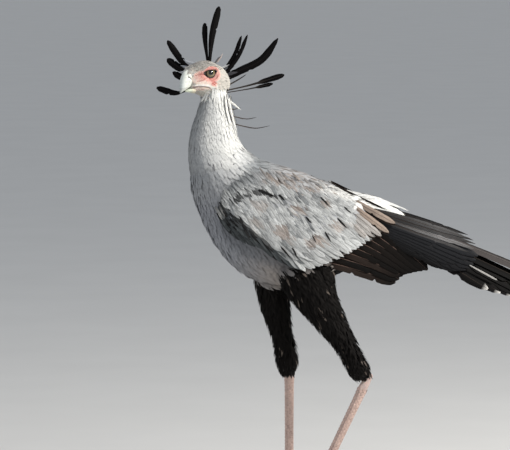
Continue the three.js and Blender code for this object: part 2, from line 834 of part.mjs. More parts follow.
const LEGS = [
  { word: 'left', sign: 1, rows: LEFT_THIGH, heel: LEFT_HEEL, ankle: LEFT_ANKLE, lean: LEFT_LEAN },
  { word: 'right', sign: -1, rows: RIGHT_THIGH, heel: RIGHT_HEEL, ankle: RIGHT_ANKLE, lean: RIGHT_LEAN },
];
for (const { word, sign, rows, heel, ankle, lean } of LEGS) {
  const knuckle = knuckleBelow(ankle, lean);
  const thigh = piece(formAlong(rows, ankle.y, CORNERS.thigh, THIGH_SQUARENESS));
  const tarsus = makeTarsus(heel, ankle, knuckle);
  const foot = makeFoot(knuckle, sign);
  const claws = Object.entries(TOES).map(([name, toe]) => [name, makeClaw(knuckle, sign, toe)]);
  addPart(`thigh_${word}`, cutBy(thigh, body.whole, ...allWings, tarsus).solid, COLOURS.black, 0.9);
  addPart(`tarsus_${word}`, cutBy(tarsus, foot).solid, COLOURS.leg, 0.6);
  addPart(
    `foot_${word}`,
    cutBy(foot, ...claws.map(([, claw]) => claw)).solid.intersect(FLOOR),
    COLOURS.leg,
    0.6,
  );
  claws.forEach(([name, claw]) => {
    addPart(`claw_${name}_${word}`, claw.solid.intersect(FLOOR), COLOURS.claw, 0.4);
  });
}

// The origin is the middle of the underside of the bird's box.
const box = new THREE.Box3().setFromObject(bird);
const middle = box.getCenter(new THREE.Vector3());
bird.position.set(-middle.x, -middle.y, -box.min.z);

export default bird;
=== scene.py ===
# Looks of a still, life-size secretary bird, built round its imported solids.
# One skin stands for the flesh. Feathers, scutes and lashes are solid vanes and plates over it.

import math

import bmesh
import bpy
import numpy as np
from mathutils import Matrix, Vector, kdtree
from mathutils.bvhtree import BVHTree


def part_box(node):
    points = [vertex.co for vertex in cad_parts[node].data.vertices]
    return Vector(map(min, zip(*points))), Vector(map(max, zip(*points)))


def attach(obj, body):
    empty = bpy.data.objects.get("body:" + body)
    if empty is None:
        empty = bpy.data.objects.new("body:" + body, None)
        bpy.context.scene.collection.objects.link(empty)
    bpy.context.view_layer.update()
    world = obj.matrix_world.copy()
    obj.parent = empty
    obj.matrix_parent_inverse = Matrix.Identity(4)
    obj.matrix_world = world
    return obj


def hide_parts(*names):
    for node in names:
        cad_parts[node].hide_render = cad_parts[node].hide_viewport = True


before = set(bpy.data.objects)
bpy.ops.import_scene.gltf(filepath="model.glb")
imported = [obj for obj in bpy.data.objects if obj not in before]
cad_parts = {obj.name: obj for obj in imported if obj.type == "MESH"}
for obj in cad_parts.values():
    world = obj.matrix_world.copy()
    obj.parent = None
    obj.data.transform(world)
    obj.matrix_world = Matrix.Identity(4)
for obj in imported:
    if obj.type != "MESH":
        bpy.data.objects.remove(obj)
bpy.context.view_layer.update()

MM = 0.001
# The sign of each side along the bird's y, and along the head's left axis, which points the other way.
ACROSS = {"left": -1, "right": 1}
SIDES = {"left": 1, "right": -1}

# The photograph's view of the bird, which stands on the floor line below the picture's edge.
PHOTO_WIDTH = 510
PHOTO_HEIGHT = 450
MM_PER_PIXEL = 2.4
FLOOR_ROW = 509
ZERO_COLUMN = 300
ELEVATION = math.radians(5)
DISTANCE = 9.0
SENSOR = 36.0

# The head's own axes, in the bird's millimetres.
HEAD_CENTRE = np.array([-226.0, -5.0, 1048.0])
HEAD_YAW = math.radians(35)
HEAD_PITCH = math.radians(8)
FORWARD = np.array([
    -math.cos(HEAD_PITCH) * math.cos(HEAD_YAW),
    -math.cos(HEAD_PITCH) * math.sin(HEAD_YAW),
    -math.sin(HEAD_PITCH),
])
LEFT = np.array([math.sin(HEAD_YAW), -math.cos(HEAD_YAW), 0.0])
UP = np.cross(FORWARD, LEFT)
HEAD_AXES = np.stack([FORWARD, LEFT, UP])
EYE_SEAT = np.array([3.0, 21.5, 2.0])
EYE_RADIUS = 13.5


def in_head(points):
    """Points given along the head's forward, left and up axes, in the bird's millimetres."""
    return HEAD_CENTRE + np.asarray(points, float) @ HEAD_AXES


def to_head(points):
    """Points in the bird's millimetres, along the head's forward, left and up axes."""
    return (np.asarray(points, float) - HEAD_CENTRE) @ HEAD_AXES.T


def middle_of(node):
    low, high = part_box(node)
    return np.array((low + high) / 2)


# Where the bird's own zero lies in the frame, found from its left eye.
ORIGIN = middle_of("eye_left") - in_head(EYE_SEAT) * MM


def placed(points):
    """From the bird's millimetres to metres in the frame."""
    return np.asarray(points, float) * MM + ORIGIN


def measured(points):
    """From metres in the frame to the bird's millimetres."""
    return (np.asarray(points, float) - ORIGIN) / MM


# Small helpers for shapes.

def unit(vectors):
    lengths = np.linalg.norm(vectors, axis=-1, keepdims=True)
    return vectors / np.maximum(lengths, 1e-9)


def heading(*parts):
    """A direction of length one, from its three parts."""
    return unit(np.array(parts, float))


def smooth(low, high, value):
    share = np.clip((value - low) / (high - low), 0, 1)
    return share * share * (3 - 2 * share)


def blend(first, second, share):
    share = np.asarray(share)[..., None]
    return np.asarray(first) * (1 - share) + np.asarray(second) * share


def along_rows(rows, count):
    """Rows of numbers made finer by a smooth curve through them."""
    rows = np.asarray(rows, float)
    padded = np.vstack([2 * rows[0] - rows[1], rows, 2 * rows[-1] - rows[-2]])
    place = np.linspace(0, len(rows) - 1 - 1e-9, count)
    low = place.astype(int)
    t = (place - low)[:, None]
    a, b, c, d = (padded[low + k] for k in range(4))
    return 0.5 * (2 * b + (c - a) * t + (2 * a - 5 * b + 4 * c - d) * t**2 + (3 * b - a - 3 * c + d) * t**3)


def grid_quads(rows, columns, closed=False):
    """Faces of one grid of points; closed joins its last column to its first."""
    last = columns if closed else columns - 1
    r, c = np.meshgrid(np.arange(rows - 1), np.arange(last), indexing="ij")
    near = (r * columns + c).ravel()
    beside = (r * columns + (c + 1) % columns).ravel()
    return np.stack([near, beside, beside + columns, near + columns], 1)


# Seeds of the random draws for each kind of feather.
SEEDS = {
    "head": 41, "neck": 42, "trunk": 43, "thigh": 44, "mantle": 45, "forehead": 47, "coverts": 50,
    "slits": 55, "under_wing": 60, "flight": 70, "tail": 80, "rump": 83, "crest": 90, "lashes": 95,
    "scutes": 100,
}


def draws(kind, side=0):
    return np.random.default_rng(SEEDS[kind] + side)


def mottle(points, size, seed, waves=7):
    """Smooth values from 0 to 1 in blotches about this many millimetres across."""
    rng = np.random.default_rng(seed)
    ways = unit(rng.normal(size=(waves, 3))) * rng.uniform(0.6, 1.7, (waves, 1)) * 2 * math.pi / size
    phases = rng.uniform(0, 2 * math.pi, waves)
    return np.clip(0.5 + 0.9 * np.sin(points @ ways.T + phases).mean(-1), 0, 1)


def srgb(red, green, blue):
    channels = np.array([red, green, blue]) / 255
    return np.where(channels <= 0.04045, channels / 12.92, ((channels + 0.055) / 1.055) ** 2.4)


# Making objects from arrays.

def finished(obj, material, replaces=()):
    """Puts a made object in the scene as a piece of the bird."""
    bpy.context.scene.collection.objects.link(obj)
    obj.data.materials.clear()
    obj.data.materials.append(material)
    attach(obj, "root")
    if replaces:
        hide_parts(*replaces)


def mesh_from(name, points, quads):
    mesh = bpy.data.meshes.new(name)
    mesh.vertices.add(len(points))
    mesh.vertices.foreach_set("co", np.asarray(points, np.float32).ravel())
    mesh.loops.add(quads.size)
    mesh.loops.foreach_set("vertex_index", np.asarray(quads, np.int32).ravel())
    mesh.polygons.add(len(quads))
    mesh.polygons.foreach_set("loop_start", np.arange(0, quads.size, quads.shape[1], dtype=np.int32))
    mesh.update(calc_edges=True)
    mesh.polygons.foreach_set("use_smooth", np.ones(len(quads), bool))
    return mesh


def set_colours(mesh, colours):
    layer = mesh.color_attributes.new("plume", "FLOAT_COLOR", "POINT")
    full = np.ones((len(mesh.vertices), 4), np.float32)
    full[:, :3] = np.clip(colours, 0, 1)
    layer.data.foreach_set("color", full.ravel())


def set_uv(mesh, name, places):
    """A UV map given by a place for each vertex."""
    corners = np.empty(len(mesh.loops), np.int32)
    mesh.loops.foreach_get("vertex_index", corners)
    layer = mesh.uv_layers.new(name=name)
    layer.uv.foreach_set("vector", np.asarray(places, np.float32)[corners].ravel())


class Plumes:
    """Forms collected for one piece: their points, faces, colours and places on the piece's map.

    Large forms have a map with a square cell for each; cells says how many it holds.
    """

    def __init__(self, cells=1):
        self.points, self.quads, self.colours, self.vane, self.bake = [], [], [], [], []
        self.count = 0
        self.cells_across = math.ceil(math.sqrt(cells))
        self.cells_taken = 0

    def add(self, points, colours, places, patch=0.003):
        """points is feathers by rows by columns by 3; colours match it or give one for each feather."""
        n, rows, columns, _ = points.shape
        starts = self.count + np.arange(n) * rows * columns
        self.quads.append((grid_quads(rows, columns)[None] + starts[:, None, None]).reshape(-1, 4))
        self.points.append(points.reshape(-1, 3))
        colours = np.asarray(colours, float)
        if colours.ndim == 2:
            colours = colours[:, None, None, :]
        self.colours.append(np.broadcast_to(colours, points.shape).reshape(-1, 3))
        across, down = np.meshgrid(np.linspace(0, 1, columns), np.linspace(0, 1, rows))
        own = np.stack([across, down], -1)
        self.vane.append(np.broadcast_to(own, (n, rows, columns, 2)).reshape(-1, 2))
        spread_out = places[:, None, None, :] + (own - 0.5) * patch
        self.bake.append(spread_out.reshape(-1, 2))
        self.count += n * rows * columns

    def add_large(self, points, colours):
        """One large form, in the next cell of the map."""
        row, column = divmod(self.cells_taken, self.cells_across)
        self.cells_taken += 1
        place = np.array([[(column + 0.5) / self.cells_across, (row + 0.5) / self.cells_across]])
        self.add(points[None], colours[None], place, patch=0.92 / self.cells_across)

    def piece(self, name, material, slot, replaces=()):
        mesh = mesh_from(name, placed(np.vstack(self.points)), np.vstack(self.quads))
        set_colours(mesh, np.vstack(self.colours))
        set_uv(mesh, "vane", np.vstack(self.vane))
        set_uv(mesh, "OFBake", np.clip(np.vstack(self.bake), 0, 1))
        finished(bpy.data.objects.new(name, mesh), material, replaces)


def vanes(root, bend, tip, facing, half, profile, rows, columns, cup=0.2, uneven=0.0, rng=None):
    """Points of feathers on curved spines. profile gives the share of the half width along each."""
    t = np.linspace(0, 1, rows)[None, :, None]
    spine = root[:, None] * (1 - t) ** 2 + bend[:, None] * 2 * t * (1 - t) + tip[:, None] * t**2
    tangent = unit((bend - root)[:, None] * (1 - t) + (tip - bend)[:, None] * t)
    side = unit(np.cross(tangent, facing[:, None]))
    over = np.cross(side, tangent)
    shares, widths = profile
    width = np.interp(np.linspace(0, 1, rows), shares, widths)[None, :] * half[:, None]
    if uneven:
        width = width * (1 + uneven * rng.uniform(-1, 1, width.shape))
    s = np.linspace(-1, 1, columns)
    across = width[..., None] * s
    points = spine[:, :, None] + side[:, :, None] * across[..., None]
    return points - over[:, :, None] * (cup * width[..., None] * s**2)[..., None]


# Outlines of feathers from root to tip, as shares of the half width.
SOFT = ([0, 0.15, 0.45, 0.75, 0.92, 1], [0.3, 0.75, 1, 0.85, 0.45, 0.05])
LANCE = ([0, 0.2, 0.5, 0.8, 1], [0.5, 0.95, 1, 0.6, 0.05])
ROUND = ([0, 0.15, 0.6, 0.84, 0.95, 1], [0.5, 0.85, 1, 0.9, 0.55, 0.12])
FLIGHT = ([0, 0.1, 0.5, 0.86, 0.95, 1], [0.35, 0.7, 1, 0.95, 0.7, 0.15])
SPATULA = ([0, 0.15, 0.4, 0.65, 0.86, 0.96, 1], [0.42, 0.5, 0.8, 1, 0.96, 0.68, 0.2])
PADDLE = ([0, 0.3, 0.6, 0.7, 0.9, 0.97, 1], [0.24, 0.24, 0.36, 0.86, 1, 0.7, 0.2])
STRAP = ([0, 0.1, 0.4, 0.8, 0.94, 1], [0.7, 0.85, 1, 0.92, 0.55, 0.12])
WISP = ([0, 0.5, 0.9, 1], [1, 0.9, 0.5, 0.1])
TAPER = ([0, 0.45, 0.62, 0.8, 0.94, 1], [0.3, 0.36, 0.7, 1, 0.85, 0.25])
LANCE_WIDE = ([0, 0.15, 0.5, 0.85, 1], [0.75, 1, 0.95, 0.5, 0.05])


# Materials.

class Surface:
    """A material's nodes round one Principled shader."""

    def __init__(self, name, roughness, **constants):
        self.material = bpy.data.materials.new(name)
        self.material.use_nodes = True
        self.nodes = self.material.node_tree.nodes
        self.links = self.material.node_tree.links
        self.shader = self.nodes["Principled BSDF"]
        self.shader.inputs["Roughness"].default_value = roughness
        for socket, value in constants.items():
            self.shader.inputs[socket.replace("_", " ")].default_value = value

    def feed(self, socket, value):
        if isinstance(value, bpy.types.NodeSocket):
            self.links.new(value, socket)
        else:
            socket.default_value = value

    def node(self, kind, inputs=(), **settings):
        made = self.nodes.new("ShaderNode" + kind)
        for key, value in settings.items():
            setattr(made, key, value)
        for key, value in dict(inputs).items():
            self.feed(made.inputs[key], value)
        return made

    def math(self, operation, first, second=0.0, third=0.0):
        return self.node("Math", {0: first, 1: second, 2: third}, operation=operation).outputs[0]

    def ramp(self, value, low, high, start=0.0, end=1.0):
        inputs = {"Value": value, "From Min": low, "From Max": high, "To Min": start, "To Max": end}
        return self.node("MapRange", inputs, clamp=True, interpolation_type="SMOOTHSTEP").outputs[0]

    def mix(self, share, first, second, way="MIX"):
        inputs = {0: share, 6: first, 7: second}
        return self.node("Mix", inputs, data_type="RGBA", blend_type=way).outputs[2]

    def object_place(self):
        return self.node("TexCoord").outputs["Object"]

    def vane_place(self):
        """The place on a feather's own map: across it and along it."""
        place = self.node("SeparateXYZ", {0: self.node("UVMap", uv_map="vane").outputs[0]})
        return place.outputs[0], place.outputs[1]

    def noise(self, scale, detail=3.0, vector=None):
        if vector is None:
            vector = self.object_place()
        return self.node("TexNoise", {"Scale": scale, "Detail": detail, "Vector": vector}).outputs["Fac"]

    def painted(self, tint):
        """The colour painted on the mesh, multiplied by a colour."""
        paint = self.node("Attribute", attribute_name="plume").outputs["Color"]
        return self.mix(1.0, paint, tint, "MULTIPLY")

    def grey(self, shade):
        return self.node("CombineColor", {0: shade, 1: shade, 2: shade}).outputs[0]

    def colour(self, value):
        self.feed(self.shader.inputs["Base Color"], value)

    def rough(self, value):
        self.feed(self.shader.inputs["Roughness"], value)

    def bump(self, height, distance, strength):
        made = self.node("Bump", {"Height": height, "Distance": distance, "Strength": strength})
        self.links.new(made.outputs["Normal"], self.shader.inputs["Normal"])


def rgba(colour):
    return (*[float(channel) for channel in colour], 1.0)


def feather_material(name, roughness, shaft=0.0, rim=0.0, streaks=0.12, barbs=34.0, shine=0.3):
    """Vanes in their own painted colour, with barbs, a darker shaft and paler rims."""
    surface = Surface(name, roughness, Specular_IOR_Level=shine)
    across, along = surface.vane_place()
    off_shaft = surface.math("ABSOLUTE", surface.math("MULTIPLY_ADD", across, 2.0, -1.0))
    slant = surface.math("MULTIPLY_ADD", off_shaft, -0.35, along)
    barb_place = surface.node("CombineXYZ", {0: surface.math("MULTIPLY", slant, barbs), 1: off_shaft})
    barb = surface.noise(1.6, 4.0, barb_place.outputs[0])
    shade = surface.ramp(barb, 0.3, 0.7, 1.0 - streaks, 1.0 + streaks)
    cloud = surface.ramp(surface.noise(220.0), 0.3, 0.7, 0.95, 1.05)
    colour = surface.painted(surface.grey(surface.math("MULTIPLY", shade, cloud)))
    at_shaft = surface.ramp(off_shaft, 0.03, 0.14, shaft, 0.0)
    colour = surface.mix(at_shaft, colour, rgba(srgb(38, 32, 28)))
    at_edge = surface.math("MAXIMUM", surface.ramp(off_shaft, 0.7, 0.98), surface.ramp(along, 0.86, 0.97))
    paler = surface.mix(1.0, colour, (1.7, 1.7, 1.7, 1.0), "MULTIPLY")
    surface.colour(surface.mix(surface.math("MULTIPLY", at_edge, rim), colour, paler))
    surface.rough(surface.ramp(barb, 0.2, 0.8, roughness - 0.06, roughness + 0.08))
    surface.bump(barb, 0.0004, 0.7)
    return surface.material


BODY_PLUME = feather_material("body_plume", 0.82, streaks=0.08, shine=0.15)
COVERT_PLUME = feather_material("covert_plume", 0.75, shaft=0.55, rim=0.1, streaks=0.25, shine=0.15)
BLACK_PLUME = feather_material("black_plume", 0.6, shaft=0.2, streaks=0.3, shine=0.07)
TROUSER_PLUME = feather_material("trouser_plume", 0.75, streaks=0.25, shine=0.1)
FLIGHT_PLUME = feather_material("flight_plume", 0.55, shaft=0.3, streaks=0.35, barbs=70.0, shine=0.1)
TAIL_PLUME = feather_material("tail_plume", 0.6, shaft=0.6, streaks=0.25, barbs=120.0, shine=0.08)


def skin_material():
    """Skin in its painted colour: pores and fine creases where it is bare."""
    surface = Surface("bird_skin", 0.55, Subsurface_Weight=0.08, Subsurface_Scale=0.004)
    pores = surface.noise(900.0, 4.0)
    fine = surface.ramp(pores, 0.3, 0.7, 0.88, 1.08)
    blotches = surface.ramp(surface.noise(160.0), 0.3, 0.7, 0.92, 1.06)
    surface.colour(surface.painted(surface.grey(surface.math("MULTIPLY", fine, blotches))))
    cell_inputs = {"Scale": 700.0, "Vector": surface.object_place()}
    cells = surface.node("TexVoronoi", cell_inputs, feature="DISTANCE_TO_EDGE")
    creases = surface.ramp(cells.outputs["Distance"], 0.0, 0.12)
    surface.bump(surface.math("MULTIPLY_ADD", pores, 0.6, creases), 0.0005, 0.6)
    surface.rough(surface.ramp(pores, 0.2, 0.8, 0.45, 0.68))
    return surface.material


def horn_material(name, first, second, roughness, scale=60.0):
    """Horn in two tones that run into each other along growth lines."""
    surface = Surface(name, roughness, Coat_Weight=0.15, Coat_Roughness=0.25)
    stretch = surface.node("Mapping", {"Vector": surface.object_place(), "Scale": (1.0, 1.0, 3.0)})
    grain = surface.noise(scale, 5.0, stretch.outputs[0])
    tone = surface.mix(surface.ramp(grain, 0.35, 0.7), rgba(first), rgba(second))
    surface.colour(surface.painted(tone))
    surface.rough(surface.ramp(grain, 0.3, 0.7, roughness - 0.08, roughness + 0.12))
    surface.bump(grain, 0.0003, 0.5)
    return surface.material


WHITE = np.ones(3)
SKIN = skin_material()
BILL_HORN = horn_material("bill_horn", srgb(255, 255, 250), srgb(234, 236, 232), 0.36)
CLAW_HORN = horn_material("claw_horn", srgb(74, 68, 64), srgb(38, 34, 32), 0.35, 150.0)
SCUTES = horn_material("leg_scutes", srgb(255, 250, 246), srgb(214, 200, 194), 0.55, 220.0)


# Markings. Skin and coat take their colours from the same rules of place.

PALE = srgb(196, 199, 203)
NECK_WHITE = srgb(226, 226, 222)
FACE_WHITE = srgb(192, 188, 180)
# Breast and belly: their own grey, darkened further by painted shade.
BREAST = srgb(150, 152, 158)
BELLY = srgb(146, 139, 134)
MANTLE = srgb(166, 166, 167)
WORN_TAN = srgb(146, 134, 125)
WHITE_AND_RIM_LIGHT = srgb(226, 226, 223)
SHOULDER_GREY = srgb(134, 138, 140)
# Painted shade, laid on the front of the neck and breast.
NECK_SHADE = srgb(104, 110, 118)
FLANK_SHADE = srgb(96, 99, 104)
VENT = srgb(196, 186, 176)
TROUSER_BLACK = srgb(17, 15, 14)
CROWN_GREY = srgb(166, 162, 156)
CORAL = srgb(204, 110, 101)
BROW_RED = srgb(188, 88, 80)
PALE_FACE = srgb(232, 212, 200)
LEG_PINK = srgb(206, 184, 176)
WING_LIGHT = srgb(180, 182, 182)
WING_DULL = srgb(116, 119, 121)
WING_DARK = srgb(70, 74, 76)
WING_BLACK = srgb(34, 34, 35)
WING_TAN = srgb(142, 125, 114)


# Lines in the plane of the bird's side. First the wing's lower edge, from the wrist to its last coverts.
WING_EDGE = np.array([
    (-187, 719), (-178, 694), (-158, 668), (-127, 649), (-84, 634), (-38, 603),
    (12, 588), (60, 603), (106, 620), (154, 646), (209, 675),
], float)
# The wing's front: the upper border of its dark band, which is dark coverts darkened further by painted
# shade, and the dark seam over the wrist.
DARK_BAND = np.array([(-184, 742), (-176, 732), (-123, 694), (-67, 648), (-22, 606), (20, 580)], float)
WRIST_SEAM = np.array([(-160, 748), (-128, 764), (-94, 774), (-62, 760)], float)
# The line above which the mantle lies over the wing, and the edge of the back behind it.
MANTLE_LINE = np.array([(-156, 772), (-134, 788), (-67, 788), (-7, 772), (60, 764), (137, 742)], float)
BACK_LINE = np.array([(74, 787), (108, 769), (141, 753), (176, 737), (209, 722)], float)
# Degrees below level at which the patterns of the mantle and of the coverts run.
BACK_SLOPE = 24.0
COVERT_SLOPE = 50.0


def line_distance(places, line):
    """Distance from each place to a bent line."""
    best = np.full(len(places), 1e9)
    for start, end in zip(line[:-1], line[1:]):
        step = end - start
        share = np.clip((places - start) @ step / (step @ step), 0, 1)
        best = np.minimum(best, np.linalg.norm(places - start - share[:, None] * step, axis=1))
    return best


def above_line(points, line):
    """How high each point is above a line in the plane of the bird's side."""
    return points[:, 2] - np.interp(points[:, 0], line[:, 0], line[:, 1])


def oval(forward, up, centre, size):
    """Square of the distance from an oval's centre, 1 on its edge."""
    return ((forward - centre[0]) / size[0]) ** 2 + ((up - centre[1]) / size[1]) ** 2


def bare_face(points):
    """How bare the face is at points along the head's axes: 1 round the eye and on the lores."""
    forward, left, up = np.moveaxis(np.asarray(points, float), -1, 0)
    ring = oval(forward, up, (3, -1), (26, 20))
    lores = oval(forward, up, (31, -4), (20, 16))
    gape = oval(forward, up, (24, -25), (34, 10))
    near = np.minimum(np.minimum(ring, lores), gape)
    return (1 - smooth(0.85, 1.15, near)) * smooth(8, 13, np.abs(left))


def head_colour(points):
    place = to_head(points)
    forward, up = place[:, 0], place[:, 2]
    plain = blend(FACE_WHITE, CROWN_GREY, smooth(8, 24, up) * smooth(-28, 10, forward))
    ring = oval(forward, up, (3, 0), (24, 19))
    point = oval(forward, up, (1, -18), (9, 12))
    lores = oval(forward, up, (28, 1), (17, 13))
    red = np.clip(1.25 - np.minimum(np.minimum(ring, point), lores), 0, 1) ** 0.6
    red = red * (0.72 + 0.45 * mottle(points, 7, 31)) * (1 - 0.35 * smooth(22, 40, forward))
    face = blend(PALE_FACE, CORAL, np.clip(red, 0, 1))
    above = smooth(6, 10, up) * smooth(24, 13, up) * smooth(26, 14, np.abs(forward - 2))
    face = blend(face, BROW_RED, 0.6 * above)
    wrinkle = np.sin(1.7 * np.hypot(forward - 3, 1.1 * (up - 3)) + 5 * mottle(points, 9, 33))
    face = blend(face, PALE_FACE, 0.7 * smooth(0.2, 0.8, wrinkle) * smooth(4, 9, np.hypot(forward - 5, up)))
    return blend(plain, face, bare_face(place))


def stretched(points, slope, stretch):
    """Points turned and squeezed, so that a pattern on them runs down a slope in degrees."""
    angle = math.radians(slope)
    x, y, z = points.T
    along = x * math.cos(angle) - z * math.sin(angle)
    across = x * math.sin(angle) + z * math.cos(angle)
    return np.stack([along / stretch, y, across], 1)


def mantle_colour(points):
    """The long feathers over the shoulder and the back, to the white ridge behind, which is pale feathers
    with a painted highlight along the ridge.
    """
    x = points[:, 0]
    streak = mottle(stretched(points, BACK_SLOPE, 4.0), 11, 11)
    fine = mottle(stretched(points, BACK_SLOPE, 3.0), 5, 14)
    colour = MANTLE * (0.92 + 0.18 * fine[:, None])
    colour = blend(colour, WORN_TAN, 0.75 * smooth(0.52, 0.72, streak) * smooth(-120, -60, x))
    colour = blend(colour, SHOULDER_GREY, 0.85 * smooth(-70, -120, x))
    # White towards the back: pale feathers, lightened further as a painted highlight along the ridge.
    return blend(colour, WHITE_AND_RIM_LIGHT, 0.85 * smooth(30, 80, x + 30 * (fine - 0.5)))


def body_colour(points):
    x, y, z = points.T
    neck = blend(NECK_WHITE, PALE, 0.35 * mottle(points, 60, 3))
    breast = blend(BREAST, BELLY, smooth(720, 590, z) * smooth(-200, -60, x))
    colour = blend(neck, breast, smooth(880, 730, z))
    top = smooth(-168, -128, x) * smooth(748, 772, z + 0.3 * x)
    colour = blend(colour, mantle_colour(points), top)
    colour = blend(colour, WHITE_AND_RIM_LIGHT, smooth(120, 150, x) * smooth(680, 700, z))
    colour = blend(colour, VENT, smooth(130, 170, x) * smooth(700, 680, z))
    # Grey on the breast before the wing's front edge: partly the flank's own grey, partly a painted shadow of
    # the wing.
    before_wing = line_distance(points[:, [0, 2]], WING_EDGE[:6])
    colour = blend(colour, FLANK_SHADE, 0.7 * smooth(34, 8, before_wing))
    edge = 6 * np.sin(0.21 * x + 0.13 * y)
    under = z + edge - 0.5 * np.maximum(x - 30, 0)
    black = smooth(-62, -54, x + edge) * smooth(592, 582, under) * smooth(150, 130, x)
    low_front = smooth(-112, -104, x + edge) * smooth(542, 536, z + 0.3 * edge)
    return blend(colour, TROUSER_BLACK, np.maximum(black, low_front))


# Where worn tan coverts lie: place along and up the side, and size.
TAN_PATCHES = [
    (-96, 737, 15), (-108, 697, 14), (-50, 682, 17), (-5, 730, 15), (17, 653, 13),
    (40, 656, 15), (84, 687, 15), (118, 690, 11), (-20, 660, 10), (60, 740, 9),
]


def wing_colour(points):
    x, _, z = points.T
    fine = mottle(stretched(points, COVERT_SLOPE, 2.6), 6, 22)
    tone = np.clip(0.45 * mottle(stretched(points, COVERT_SLOPE, 1.8), 22, 23) + 0.55 * fine, 0, 1)
    colour = blend(WING_DULL, WING_LIGHT, smooth(0.25, 0.65, tone))
    tan = np.zeros(len(x))
    for patch_x, patch_z, size in TAN_PATCHES:
        apart = np.hypot(x - patch_x, 1.25 * (z - patch_z)) / size
        tan = np.maximum(tan, smooth(1.5, 0.5, apart + 0.9 * (fine - 0.5)))
    colour = blend(colour, WING_TAN, 0.6 * tan)
    colour = blend(colour, WING_LIGHT, 0.35 * smooth(-40, -100, x))
    lower = smooth(60, 25, above_line(points, WING_EDGE))
    dim = lower * smooth(-60, -30, x) * smooth(24, 0, x)
    colour = blend(colour, WING_DARK, 0.75 * dim * smooth(0.7, 0.4, fine))
    colour = blend(colour, WING_LIGHT, 0.7 * lower * smooth(-10, 30, x))
    colour = blend(colour, WING_LIGHT * 1.06, 0.7 * smooth(70, 120, x) * smooth(660, 700, z))
    # The dark band at the wing's front: dark coverts, darkened further by painted shade under the front edge.
    in_band = smooth(4, -5, above_line(points, DARK_BAND)) * smooth(20, -10, x)
    colour = blend(colour, blend(WING_DARK, WING_BLACK, smooth(0.45, 0.6, fine)), in_band)
    seam = line_distance(points[:, [0, 2]], WRIST_SEAM)
    colour = blend(colour, WING_BLACK, 0.85 * smooth(8, 3, seam))
    colour = blend(colour, mantle_colour(points), smooth(-3, 4, above_line(points, MANTLE_LINE)))
    # A white edge at the wrist, painted as a rim of light along the wing's front.
    return blend(colour, WHITE_AND_RIM_LIGHT, smooth(-179, -184, x) * smooth(700, 712, z))


def coat_colour(points, region):
    """The colour of the coat and of the skin under it, by place and by what it grows from."""
    if region == "head":
        return head_colour(points)
    if region == "thigh":
        return np.broadcast_to(TROUSER_BLACK, points.shape).copy()
    if region == "leg":
        return blend(LEG_PINK, srgb(190, 168, 162), mottle(points, 30, 5))
    if region == "wing":
        return wing_colour(points)
    return body_colour(points)


# The skin, and what grows from it.

HEAD_ROWS = [
    [-58, -14, -42, 12],
    [-53, -4, -51, 21],
    [-45, 6, -57, 28],
    [-34, 16, -58, 32],
    [-19, 27, -57, 34.5],
    [-4, 33, -56, 34.5],
    [12, 34, -55, 32],
    [26, 32, -51, 28],
    [37, 28, -43, 23],
    [46, 23, -35, 18.5],
    [53, 18.5, -30, 14.5],
]
HEAD_SQUARENESS = 2.25
BILL_SQUARENESS = 2.1
FLESH = {
    "neck": ("neck_upper", "neck_lower"),
    "trunk": ("trunk",),
    "wing": ("wing_left", "wing_right"),
    "thigh": ("thigh_left", "thigh_right"),
    "leg": ("tarsus_left", "tarsus_right", "foot_left", "foot_right"),
}
REGIONS = ["head", *FLESH]
COAT_DEPTH = {"head": 3.0, "neck": 7.0, "trunk": 10.0, "wing": 7.0, "thigh": 10.0, "leg": 0.0}
SKIN_GRAIN = 3.0


def oval_rings(rows, squareness, sides):
    """Rings of an oval form on the head. Each row is forward, top, bottom and half width."""
    turn = np.linspace(0, 2 * math.pi, sides, endpoint=False)
    wide = np.sign(np.cos(turn)) * np.abs(np.cos(turn)) ** (2 / squareness)
    tall = np.sign(np.sin(turn)) * np.abs(np.sin(turn)) ** (2 / squareness)
    rings = []
    for forward, top, bottom, half in rows:
        height = (top + bottom) / 2 + tall * (top - bottom) / 2
        rings.append(in_head(np.stack([np.full(sides, forward), wide * half, height], 1)))
    return np.array(rings)


def capped(rings):
    """Rings with both ends drawn in to a point."""
    first = np.repeat(rings[:1].mean(1, keepdims=True), rings.shape[1], 1)
    last = np.repeat(rings[-1:].mean(1, keepdims=True), rings.shape[1], 1)
    return np.concatenate([first, rings, last])


def mesh_arrays(mesh):
    points = np.empty(len(mesh.vertices) * 3, np.float32)
    mesh.vertices.foreach_get("co", points)
    mesh.calc_loop_triangles()
    corners = np.empty(len(mesh.loop_triangles) * 3, np.int32)
    mesh.loop_triangles.foreach_get("vertices", corners)
    return points.reshape(-1, 3).astype(float), corners.reshape(-1, 3)


def solid_arrays(node):
    """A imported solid's points in the bird's millimetres, and its triangles."""
    points, corners = mesh_arrays(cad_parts[node].data)
    return measured(points), corners


def tree_of(points, corners):
    return BVHTree.FromPolygons(points.tolist(), corners.tolist())


def flesh_sources():
    """The forms under the coat, each with the number of its region."""
    skull = capped(oval_rings(along_rows(HEAD_ROWS, 36), HEAD_SQUARENESS, 48))
    quads = grid_quads(skull.shape[0], skull.shape[1], closed=True)
    sources = [(0, skull.reshape(-1, 3), np.vstack([quads[:, :3], quads[:, [0, 2, 3]]]))]
    for region, nodes in FLESH.items():
        sources += [(REGIONS.index(region), *solid_arrays(node)) for node in nodes]
    return sources


def neighbours(mesh):
    pairs = np.empty(len(mesh.edges) * 2, np.int32)
    mesh.edges.foreach_get("vertices", pairs)
    return pairs.reshape(-1, 2)


